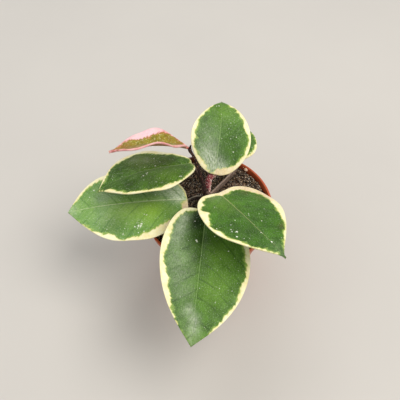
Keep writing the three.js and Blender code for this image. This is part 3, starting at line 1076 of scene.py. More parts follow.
    def edge_width(self, s: np.ndarray, v: np.ndarray) -> np.ndarray:
        """How wide the cream edge is.

        Args:
            s: Shares of the length.
            v: Places across, from -1 at the right margin to 1 at the left.

        Returns:
            Its width at each place, in millimetres.
        """
        left = np.interp(s, *zip(*self.left_edge))
        right = np.interp(s, *zip(*self.right_edge))
        leftness = np.clip(0.5 + v / self.EDGE_BLEND, 0, 1)
        return left * leftness + right * (1 - leftness)

    def patched(self, tint: Tint, along: np.ndarray, across: np.ndarray) -> np.ndarray:
        """How much of a tint the blade has.

        Args:
            tint: Which one.
            along: Millimetres along the midrib.
            across: Millimetres to its left.

        Returns:
            Its strength at each place, from 0 to 1.
        """
        total = np.zeros_like(along)
        for s, v, radius, strength in self.patches.get(tint, ()):
            x, y = self.flat_places(np.array(s), np.array(v))
            gap = np.hypot(along - x, across - y) / radius
            total += strength * np.exp(-(gap**2))
        return np.clip(total, 0, 1)

    def stalk(self) -> tuple[np.ndarray, list, dict[str, np.ndarray]]:
        """The petiole from the stem's node to the blade, running on as the raised midrib under it.

        Returns:
            Its points, faces, and "leafy": 0 on the petiole and 1 under the blade.
        """
        share = np.linspace(0, 1, self.UNDER_STATIONS)
        middle, normal = self.surface(self.UNDER_START + self.UNDER_RUN * share, np.zeros(self.UNDER_STATIONS))
        start, thinning = self.UNDER_TAPER
        under_radii = self.petiole_radius * (start - thinning * share)
        under = middle - normal * (under_radii + self.UNDER_SINK)[:, None]
        free = 1 + len(self.petiole)
        stations = [self.node, *self.petiole, *under.tolist()]
        points, faces, run = Limb(stations, [self.petiole_radius] * free + under_radii.tolist()).mesh()
        return points, faces, {"leafy": np.clip((run - free + self.LEAFY_LEAD) / self.LEAFY_RUN, 0, 1)}

    def build(self) -> None:
        """Makes the leaf's two pieces and dresses them."""
        parts = (("_blade", self.blade(), self.skin), ("_petiole", self.stalk(), self.stalk_skin))
        for ending, (points, faces, values), skin in parts:
            piece = make_piece(self.name + ending, points, faces, skin.build(self.name), values)
            enrol(piece, self.name)


@dataclass(frozen=True)
class Stem:
    """The short climbing stem: rooted in the soil, swollen at its nodes, and thin where it grows on.

    Attributes:
        stations: Points that it passes through, in millimetres, each with its radius.
        skin: Its finish.
    """

    stations: tuple[tuple[Point, float], ...] = (
        ((-0.7, 2.3, 30), 1.6),
        ((-0.7, 2.3, 45), 1.8),
        ((-0.7, 2.3, 58), 1.9),
        ((-0.6, 1.4, 67), 2.3),
        ((-0.8, 0.3, 70.3), 1.8),
        ((-0.9, -0.9, 73.5), 2.2),
        ((-1.5, -1.7, 76.5), 1.6),
        ((-1.8, -2.2, 79.3), 1.8),
        ((-2.5, -0.8, 81.2), 1),
        ((-3.6, 2, 84), 0.8),
        ((-5.3, 5.3, 88), 0.75),
        ((-6.6, 8.5, 90.5), 0.7),
        ((-8.2, 11, 92.6), 0.7),
        ((-9.7, 13.3, 93.6), 1),
        ((-9.3, 14.4, 96.2), 0.4),
    )
    # Its paler side, towards the back left and up, is a painted highlight.
    skin: StalkSkin = StalkSkin(
        flesh="#2a1613",
        flush="#120a08",
        pores="#7a5645",
        pore_share=0.6,
        painted_highlight="#54393a",
        highlight_way=(-0.7, 0.4, 0.6),
        highlight_share=0.5,
        highlight_start=0.55,
        roughness=0.7,
    )

    def joint(self, number: int) -> Point:
        """A station's point."""
        return self.stations[number][0]

    def build(self) -> None:
        """Makes the stem and dresses it."""
        limb = Limb([at for at, _ in self.stations], [radius for _, radius in self.stations], sides=24, lumps=0.12)
        points, faces, _ = limb.mesh()
        enrol(make_piece("vine_stem", points, faces, self.skin.build("vine")), "stem")


@dataclass(frozen=True)
class Pot:
    """The moulded nursery pot, in millimetres: tapered wall, stepped collar, rolled lip and drain holes.

    Attributes:
        height: Over all.
        base_radius: Of the foot, outside.
        rim_radius: Of the lip, outside.
        wall: The wall's thickness.
        floor: The floor's thickness.
        foot_round, corner_round: The rounding outside at the foot and inside on the floor.
        collar_height: The band under the lip.
        collar_step: How far it stands out from the wall.
        collar_draft: How much it widens towards the lip.
        collar_round: The rounding of its lower edge.
        lip, lip_round: The lip's width and the rounding of its edges.
        drain_holes, drain_hole_radius, drain_circle_radius: The holes, and the circle that they lie on.
        dark_lip_angle: Where the collar is drawn darker over the lip, in degrees from +X.
        sectors: How finely its mesh is divided round.
        skin: Its finish.
    """

    height: float = 62
    base_radius: float = 22.5
    rim_radius: float = 35
    wall: float = 1.2
    floor: float = 1.6
    foot_round: float = 0.8
    corner_round: float = 0.8
    collar_height: float = 6
    collar_step: float = 1.5
    collar_draft: float = 1
    collar_round: float = 0.5
    lip: float = 1.3
    lip_round: float = 0.5
    drain_holes: int = 6
    drain_hole_radius: float = 3
    drain_circle_radius: float = 15
    dark_lip_angle: float = 111
    sectors: int = 180
    skin: MouldedPolypropylene = MouldedPolypropylene()

    FLAT_INSIDE = 5  # from the drain circle in to where the floor's fan of faces starts
    ARC_STEPS = 7
    OUTER_STEPS, COLLAR_STEPS, INNER_STEPS = 10, 3, 8
    DRILL_SIDES = 40
    DRILL_LENGTH = 4  # in floor thicknesses, so that it goes right through
    SHARP_ANGLE = 35  # degrees between two faces that don't shade smooth
    FOOT_DUST_HEIGHT, FOOT_DUST = 7, 0.7
    DUST_TOP, DUST_FADE = 61.5, 3
    DARK_LIP_WIDTH = 20  # degrees
    INSIDE_COLLAR, INSIDE_WALL = 0.8, 0.6  # a point this far in from the outside lies on the inside

    @property
    def collar_foot(self) -> float:
        """The height of the collar's lower edge."""
        return self.height - self.collar_height

    @property
    def collar_radius(self) -> float:
        """The collar's radius at its lower edge."""
        return self.rim_radius - self.collar_draft

    @property
    def neck_radius(self) -> float:
        """The wall's radius just under the collar."""
        return self.collar_radius - self.collar_step

    @property
    def mouth_radius(self) -> float:
        """The inner radius low in the collar."""
        return self.collar_radius - self.lip

    def profile(self) -> np.ndarray:
        """The wall's outline.

        Returns:
            Its corners, as radius and height, from the middle of the base out, up, over the lip and down to the floor.
        """

        def quarter(r: float, z: float, radius: float, start: float, end: float) -> list:
            """A quarter turn of the outline round a point, in degrees."""
            turn = np.radians(np.linspace(start, end, self.ARC_STEPS))
            return [(r + radius * math.cos(a), z + radius * math.sin(a)) for a in turn]

        def rise(low: tuple[float, float], high: tuple[float, float], steps: int) -> list:
            """Even points between two corners of the outline, which keep its faces short."""
            shares = np.linspace(0, 1, steps + 2)[1:-1]
            return [(low[0] + (high[0] - low[0]) * t, low[1] + (high[1] - low[1]) * t) for t in shares]

        foot = quarter(self.base_radius - self.foot_round, self.foot_round, self.foot_round, -90, 0)
        neck = (self.neck_radius, self.collar_foot)
        step_r, step_z = self.collar_radius - self.collar_round, self.collar_foot + self.collar_round
        step = quarter(step_r, step_z, self.collar_round, -90, 0)
        over_r, top_z = self.rim_radius - self.lip_round, self.height - self.lip_round
        over = quarter(over_r, top_z, self.lip_round, 0, 90)
        inner = quarter(self.rim_radius - self.lip + self.lip_round, top_z, self.lip_round, 90, 180)
        mouth = (self.mouth_radius, self.collar_foot + self.wall)
        throat = (self.neck_radius - self.wall, self.collar_foot - self.wall / 2)
        corner_r = self.base_radius - self.wall - self.corner_round
        corner = quarter(corner_r, self.floor + self.corner_round, self.corner_round, 0, -90)
        fan = self.drain_circle_radius - self.FLAT_INSIDE
        outline = [(0, 0), (fan, 0), *foot, *rise(foot[-1], neck, self.OUTER_STEPS), neck, *step]
        outline += [*rise(step[-1], over[0], self.COLLAR_STEPS), *over, *inner]
        outline += [*rise(inner[-1], mouth, self.COLLAR_STEPS), mouth, throat]
        outline += [*rise(throat, corner[0], self.INNER_STEPS), *corner, (fan, self.floor), (0, self.floor)]
        return np.array(outline)

    def build(self) -> None:
        """Turns the outline, cuts the drain holes and dresses the pot."""
        rings = [circle(radius, height, self.sectors) for radius, height in self.profile()[1:-1]]
        points = np.concatenate([[[0, 0, 0]], *rings, [[0, 0, self.floor]]])
        pot = make_piece("nursery_pot", points, turned_faces(len(rings), self.sectors), self.skin.build())
        self.drill(pot)
        self.mark_dust_and_shade(pot)
        enrol(pot, "pot")

    def drill(self, pot: bpy.types.Object) -> None:
        """Cuts the drain holes through the floor.

        Args:
            pot: The turned pot.
        """
        drills = []
        for i in range(self.drain_holes):
            angle = TURN * (i + 0.5) / self.drain_holes
            middle = self.drain_circle_radius * Vector((math.cos(angle), math.sin(angle), 0))
            middle.z = self.floor / 2
            size = {"radius": self.drain_hole_radius * MM, "depth": self.DRILL_LENGTH * self.floor * MM}
            bpy.ops.mesh.primitive_cylinder_add(vertices=self.DRILL_SIDES, location=middle * MM, **size)
            drills.append(bpy.context.object)
            cut = pot.modifiers.new("drain_hole", "BOOLEAN")
            cut.object, cut.operation, cut.solver = drills[-1], "DIFFERENCE", "EXACT"
        drilled = bpy.data.meshes.new_from_object(pot.evaluated_get(bpy.context.evaluated_depsgraph_get()))
        pot.modifiers.clear()
        pot.data = drilled
        pot.data.set_sharp_from_angle(angle=math.radians(self.SHARP_ANGLE))
        for drill in drills:
            bpy.data.objects.remove(drill)

    def mark_dust_and_shade(self, pot: bpy.types.Object) -> None:
        """Says where the pot is darker and specked with peat: inside towards the soil, where the darkening is painted
        shade, over the lip at the back, and round the foot.

        Args:
            pot: The finished pot.
        """
        places = np.empty(len(pot.data.vertices) * 3)
        pot.data.vertices.foreach_get("co", places)
        places = places.reshape(-1, 3) / MM
        radius, height = np.hypot(places[:, 0], places[:, 1]), places[:, 2]
        wall_radius = np.interp(height, [0, self.collar_foot], [self.base_radius, self.neck_radius])
        collar = height > self.collar_foot
        limit = np.where(collar, self.collar_radius - self.INSIDE_COLLAR, wall_radius - self.INSIDE_WALL)
        inside = radius < limit
        foot = np.clip(1 - height / self.FOOT_DUST_HEIGHT, 0, 1) * self.FOOT_DUST
        # Inside, the wall darkens towards the soil: painted shade, with peat specks.
        line = np.clip((self.DUST_TOP - height) / self.DUST_FADE, 0, 1)
        angle = np.degrees(np.arctan2(places[:, 1], places[:, 0]))
        dark_lip = np.exp(-(((angle - self.dark_lip_angle) / self.DARK_LIP_WIDTH) ** 2)) * collar
        dust_and_shade = np.maximum(np.where(inside, line, foot), dark_lip)
        layer = pot.data.attributes.new("dust_and_shade", "FLOAT", "POINT")
        layer.data.foreach_set("value", dust_and_shade.astype(np.float32))


@dataclass(frozen=True)
class RootBall:
    """The soil: an uneven mound of peat with crumbs, bark bits and fibres lying on it, in millimetres.

    Attributes:
        pot: The pot that it fills.
        edge_height: The height of its top at the wall.
        mound: How much higher its middle is.
        gap: Between it and the pot.
        rings, sectors: How finely its mesh is divided.
        heap: How high it is heaped against the back right wall.
        heap_heading: Where that is, in degrees from +X.
        crumbs, bark_bits, fibres: How many of each lie on it.
        waves: The swells of its top: each one's length, heading in degrees, height and phase.
        grit: The pale granules against the wall: each one's place and radius.
    """

    pot: Pot
    edge_height: float = 58.4
    mound: float = 1.0
    gap: float = 0.3
    rings: int = 76
    sectors: int = 240
    heap: float = 1.7
    heap_heading: float = 42.0
    crumbs: int = 2400
    bark_bits: int = 320
    fibres: int = 170
    waves: tuple[tuple[float, float, float, float], ...] = (
        (20, 18, 0.35, 1.3),
        (8.5, -42, 0.2, 0.0),
        (7.4, 56, 0.18, 2.0),
    )
    grit: tuple[tuple[float, float, float, float], ...] = (
        (21.5, 24.8, 61.0, 1.15),
        (20.9, 25.8, 61.0, 0.45),
        (20.3, 26.7, 61.0, 0.3),
        (19.7, 27.5, 61.0, 0.25),
    )

    LUMPS = ((0.75, 3.2, 0.0), (0.4, 1.1, 5.0))  # each with its height, its size and its shift in the noise
    HEAP_REACH = 4
    FOOT_ROUND = 1
    CRUMB_RADII = (0.3, 1.0)
    BARK_RADII = (0.22, 0.6)
    LUMP_CLEARANCE = 0.7  # from the wall
    LUMP_RARITY = 2.2  # the higher it is, the fewer of the lumps are large
    LUMP_STRETCH = ((0.7, 1.5), (0.6, 1.0), (0.45, 0.8))
    LUMP_DENTS = 0.28
    LUMP_PERCH = 0.35
    FIBRE_CLEARANCE, FIBRE_END_CLEARANCE = 5, 0.8
    FIBRE_LENGTHS = (4, 11)
    FIBRE_BEND = 1.2
    FIBRE_HEIGHTS = (0.25, 0.9)
    FIBRE_RADII = (0.06, 0.14)
    FIBRE_TAPER = (0.5, 1, 1, 1, 0.4)

    @property
    def top_radius(self) -> float:
        """The soil's radius at its top."""
        return self.pot.mouth_radius - self.gap

    def top(self, x: np.ndarray, y: np.ndarray) -> np.ndarray:
        """The soil's smooth top.

        Args:
            x, y: Places on it, in millimetres.

        Returns:
            Its height at each.
        """
        height = self.edge_height + self.mound * (1 - (np.hypot(x, y) / self.top_radius) ** 2)
        for length, heading, size, phase in self.waves:
            a = math.radians(heading)
            height = height + size * np.sin(TURN * (x * math.cos(a) + y * math.sin(a)) / length + phase)
        return height

    def rough_top(self, x: np.ndarray, y: np.ndarray) -> np.ndarray:
        """The soil's crumbly top.

        Args:
            x, y: Places on it, in millimetres.

        Returns:
            Its height at each.
        """
        places = np.stack([x, y, np.zeros_like(x)], -1)
        height = self.top(x, y)
        for tall, size, shift in self.LUMPS:
            height = height + tall * noise_at(places, size, shift).reshape(x.shape)
        reach = np.hypot(x, y)
        heading = math.radians(self.heap_heading)
        facing = x * math.cos(heading) + y * math.sin(heading)
        heap = np.exp(-(((self.top_radius - reach) / self.HEAP_REACH) ** 2))
        return height + self.heap * (np.clip(facing / np.maximum(reach, 1), 0, 1) * heap)

    def rough_height(self, x: float, y: float) -> float:
        """The height of the crumbly top at one place."""
        return float(self.rough_top(np.array([x], float), np.array([y], float))[0])

    def build(self) -> None:
        """Makes the soil and what lies on it, and dresses them."""
        rng = np.random.default_rng(SEED)
        self.build_ball()
        crumbs = MoistPeat(wet="#130c09", dry="#57473d", speck_share=0.2, sand_share=0.08, grain=0.6)
        self.scatter("peat_crumbs", self.crumbs, self.CRUMB_RADII, crumbs.build("crumbs"), rng)
        bark = MoistPeat(wet="#553c2a", dry="#947558", speck="#c4a684", speck_share=0.3, sand_share=0.15, grain=0.6)
        self.scatter("bark_bits", self.bark_bits, self.BARK_RADII, bark.build("bark"), rng)
        self.strew_fibres(rng)
        self.scatter("perlite_grit", len(self.grit), (0, 1), ExpandedPerlite().build(), rng, self.grit)

    def build_ball(self) -> None:
        """Makes the root ball's closed skin."""
        pot, gap = self.pot, self.gap
        side = (
            (pot.base_radius - pot.wall - pot.corner_round - gap, pot.floor + gap),
            (pot.base_radius - pot.wall - gap, pot.floor + self.FOOT_ROUND + gap),
            (pot.neck_radius - pot.wall - gap, pot.collar_foot - pot.wall / 2),
            (self.top_radius, pot.collar_foot + pot.wall + gap),
        )
        rings = [circle(radius, height, self.sectors) for radius, height in side]
        for share in np.linspace(1, 0, self.rings, endpoint=False):
            ring = circle(self.top_radius * share, 0, self.sectors)
            ring[:, 2] = self.rough_top(ring[:, 0], ring[:, 1])
            rings.append(ring)
        points = np.concatenate([[[0, 0, pot.floor + gap]], *rings, [[0, 0, self.rough_height(0, 0)]]])
        faces = turned_faces(len(rings), self.sectors)
        enrol(make_piece("root_ball", points, faces, MoistPeat().build("root_ball")), "soil")

    def scatter(
        self,
        name: str,
        count: int,
        sizes: tuple[float, float],
        skin: bpy.types.Material,
        rng: np.random.Generator,
        spots: tuple[tuple[float, float, float, float], ...] = (),
    ) -> None:
        """Strews broken lumps over the soil.

        Args:
            name: The piece's name.
            count: How many lumps.
            sizes: The smallest and largest radius.
            skin: Their finish.
            rng: Draws their places and shapes.
            spots: Where they lie, each with its radius, in place of drawn ones.
        """
        bpy.ops.mesh.primitive_ico_sphere_add(subdivisions=2, radius=1.0)
        ball = bpy.context.object
        shape = np.array([v.co for v in ball.data.vertices])
        ball_faces = np.array([p.vertices for p in ball.data.polygons])
        bpy.data.objects.remove(ball)
        points, faces = [], []
        for number in range(count):
            angle, reach = rng.uniform(0, TURN), (self.top_radius - self.LUMP_CLEARANCE) * math.sqrt(rng.uniform())
            x, y = reach * math.cos(angle), reach * math.sin(angle)
            size = sizes[0] + (sizes[1] - sizes[0]) * rng.uniform() ** self.LUMP_RARITY
            turn = np.array(Euler(rng.uniform(0, TURN, 3)).to_matrix())
            stretch = np.array([rng.uniform(*span) for span in self.LUMP_STRETCH])
            dents = 1 + self.LUMP_DENTS * rng.uniform(-1, 1, len(shape))[:, None]
            z = self.rough_height(x, y) + self.LUMP_PERCH * size
            if spots:
                x, y, z, size = spots[number]
            points.append((shape * dents * stretch * size) @ turn.T + np.array([x, y, z]))
            faces.append(ball_faces + number * len(shape))
        piece = make_piece(name, np.concatenate(points), np.concatenate(faces).tolist(), skin)
        enrol(piece)

    def strew_fibres(self, rng: np.random.Generator) -> None:
        """Lays dry moss fibres over the crumbs.

        Args:
            rng: Draws their places and bends.
        """
        points, faces, used = [], [], 0
        for _ in range(self.fibres):
            angle, reach = rng.uniform(0, TURN), (self.top_radius - self.FIBRE_CLEARANCE) * math.sqrt(rng.uniform())
            heading, length = rng.uniform(0, TURN), rng.uniform(*self.FIBRE_LENGTHS)
            bend = rng.uniform(-self.FIBRE_BEND, self.FIBRE_BEND)
            stations = []
            for t in np.linspace(-0.5, 0.5, len(self.FIBRE_TAPER)):
                way = heading + bend * t
                x = reach * math.cos(angle) + length * t * math.cos(way)
                y = reach * math.sin(angle) + length * t * math.sin(way)
                inward = min(1.0, (self.top_radius - self.FIBRE_END_CLEARANCE) / max(math.hypot(x, y), 1e-6))
                x, y = x * inward, y * inward
                stations.append((x, y, self.rough_height(x, y) + rng.uniform(*self.FIBRE_HEIGHTS)))
            thickness = rng.uniform(*self.FIBRE_RADII)
            radii = [share * thickness for share in self.FIBRE_TAPER]
            mesh_points, mesh_faces, _ = Limb(stations, radii, sides=6, steps=4, lumps=0.0).mesh()
            points.append(mesh_points)
            faces += [tuple(used + n for n in face) for face in mesh_faces]
            used += len(mesh_points)
        skin = MoistPeat(wet="#4d3527", dry="#84604a", speck="#b08c78", speck_share=0.3, grain=0.6)
        enrol(make_piece("moss_fibres", np.concatenate(points), faces, skin.build("fibres")))


@dataclass(frozen=True)
class Studio:
    """A plain pale floor, soft light from high on both sides and behind, and the photograph's camera.

    Attributes:
        camera_place: Where the camera stands, in millimetres.
        camera_tilt: Its tilt from straight down, in degrees.
        camera_angle: The width of its view, in degrees.
        floor_size: The floor's side, in millimetres.
        target: The plant's middle, which the lights face.
        lights: Each softbox: its name, its place from the target, its side in millimetres, its watts and its colour.
        sky, sky_strength: The even light from all round.
    """

    camera_place: Point = (-4.6, -160.9, 313.6)
    camera_tilt: float = 33.2
    camera_angle: float = 40.0
    floor_size: float = 6000.0
    target: Point = (-4.0, -5.0, 70.0)
    lights: tuple[tuple[str, Point, float, float, str], ...] = (
        ("key", (430, -150, 950), 600, 8.0, "#fff8ee"),
        ("window", (-200, 700, 1000), 800, 4.0, "#fbfaf7"),
        ("fill", (-700, -250, 700), 900, 2.2, "#fdfbf6"),
    )
    sky: str = "#f3f1ec"
    sky_strength: float = 0.45

    def build(self) -> None:
        """Makes the floor, the camera and the lights."""
        half = self.floor_size / 2
        corners = np.array([(-half, -half, 0), (half, -half, 0), (half, half, 0), (-half, half, 0)], float)
        floor = make_piece("floor", corners, [(0, 1, 2, 3)], BackdropPaper().build())
        lens = bpy.data.cameras.new("camera")
        lens.sensor_fit = "HORIZONTAL"
        lens.angle = math.radians(self.camera_angle)
        camera = bpy.data.objects.new("camera", lens)
        camera.location = Vector(self.camera_place) * MM
        camera.rotation_euler = (math.radians(self.camera_tilt), 0, 0)
        scene = bpy.context.scene
        scene.collection.objects.link(camera)
        scene.camera = camera
        scene.view_settings.view_transform = "Standard"
        for light in self.lights:
            self.add_light(*light)
        world = bpy.data.worlds.new("studio")
        world.use_nodes = True
        feed(world.node_tree.nodes["Background"], {"Color": linear(self.sky), "Strength": self.sky_strength})
        scene.world = world

    def add_light(self, name: str, place: Point, size: float, power: float, colour: str) -> None:
        """Hangs a square softbox that faces the plant.

        Args:
            name: Its name.
            place: Its middle, from the plant's middle, in millimetres.
            size: Its side, in millimetres.
            power: Its power in watts.
            colour: Its light's colour.
        """
        data = bpy.data.lights.new(name, "AREA")
        data.size = size * MM
        data.energy = power
        data.color = linear(colour)[:3]
        light = bpy.data.objects.new(name, data)
        light.location = (Vector(self.target) + Vector(place)) * MM
        light.rotation_euler = Vector(place).to_track_quat("Z", "Y").to_euler()
        bpy.context.scene.collection.objects.link(light)


STEM = Stem()
# The swollen stations that the petioles leave from.
NODE_LOW, NODE_MIDDLE, NODE_HIGH, NODE_TIP = (STEM.joint(number) for number in (3, 5, 7, 13))

# A darker copy of the skin for leaf_left_high, which faces away from the light: its darker greens are painted shade.
SHADED_SKIN = LeafCuticle(deep="#2d4b12", fresh="#4f7b1e", dust=0.35)
# A darker copy of the skin for leaf_right, which takes the most light: its darker greens are painted shade.
SHADE_DARKENED_SKIN = LeafCuticle(deep="#2c4f12", fresh="#4f8122", rib="#a8ad72", rib_share=0.7, dust=0.35)
# A paler copy of the skin for leaf_left_low: its lighter greens are painted light, lifting it out of leaf_left_high's
# shadow.
PAINTED_LIGHT_SKIN = LeafCuticle(
    deep="#5a8a42",
    fresh="#86ae5c",
    bright="#9ac64a",
    vein="#3c6a2c",
    rib="#cbdba8",
    painted_sheen="#e2e9d8",
    vein_share=0.55,
    rib_share=0.85,
    rib_width=1.7,
    dust=0.4,
)
YOUNG_SKIN = LeafCuticle(
    deep="#5f5c0a",
    fresh="#aaa834",
    pale="#b07a42",
    turning="#a8623a",
    edge="#f0bcbc",
    edge_warm="#e08c90",
    painted_sheen="#f6e3d6",
    vein="#8a4630",
    rib="#d8776a",
    bright="#a8a83c",
    olive="#8e4628",
    blush="#efd6e0",
    under="#c4705c",
    fleck="#f2e6bc",
    flames=4.6,
    dust=0.9,
    dust_size=0.9,
    roughness=0.45,
    glow=0.12,
)
# In each stalk skin, the ridge colour is a painted highlight on the side that faces highlight_way.
ROSY_STALK = StalkSkin(
    flesh="#96484d",
    flush="#5a262c",
    pores="#ecd9d0",
    pore_share=0.62,
    painted_highlight="#d09a95",
    highlight_way=(0.95, -0.3, 0.3),
    highlight_share=0.7,
    highlight_start=0.5,
    roughness=0.5,
)
DUSTY_STALK = StalkSkin(
    flesh="#76645a",
    flush="#544339",
    pores="#b5a090",
    pore_share=0.4,
    painted_highlight="#cbb0a4",
    highlight_way=(-0.35, 0.6, 0.9),
    highlight_share=0.8,
    highlight_start=0.6,
    roughness=0.6,
)
GREY_STALK = StalkSkin(
    flesh="#3b322e",
    flush="#231c19",
    pores="#a49888",
    pore_share=0.45,
    painted_highlight="#a79c90",
    highlight_way=(0.0, 0.25, 1.0),
    highlight_share=0.85,
    highlight_start=0.78,
    roughness=0.6,
)
PINK_STALK = StalkSkin(
    flesh="#d98479",
    flush="#b9605a",
    pores="#eeb3a8",
    pore_share=0.2,
    painted_highlight="#e9a39a",
    roughness=0.5,
)

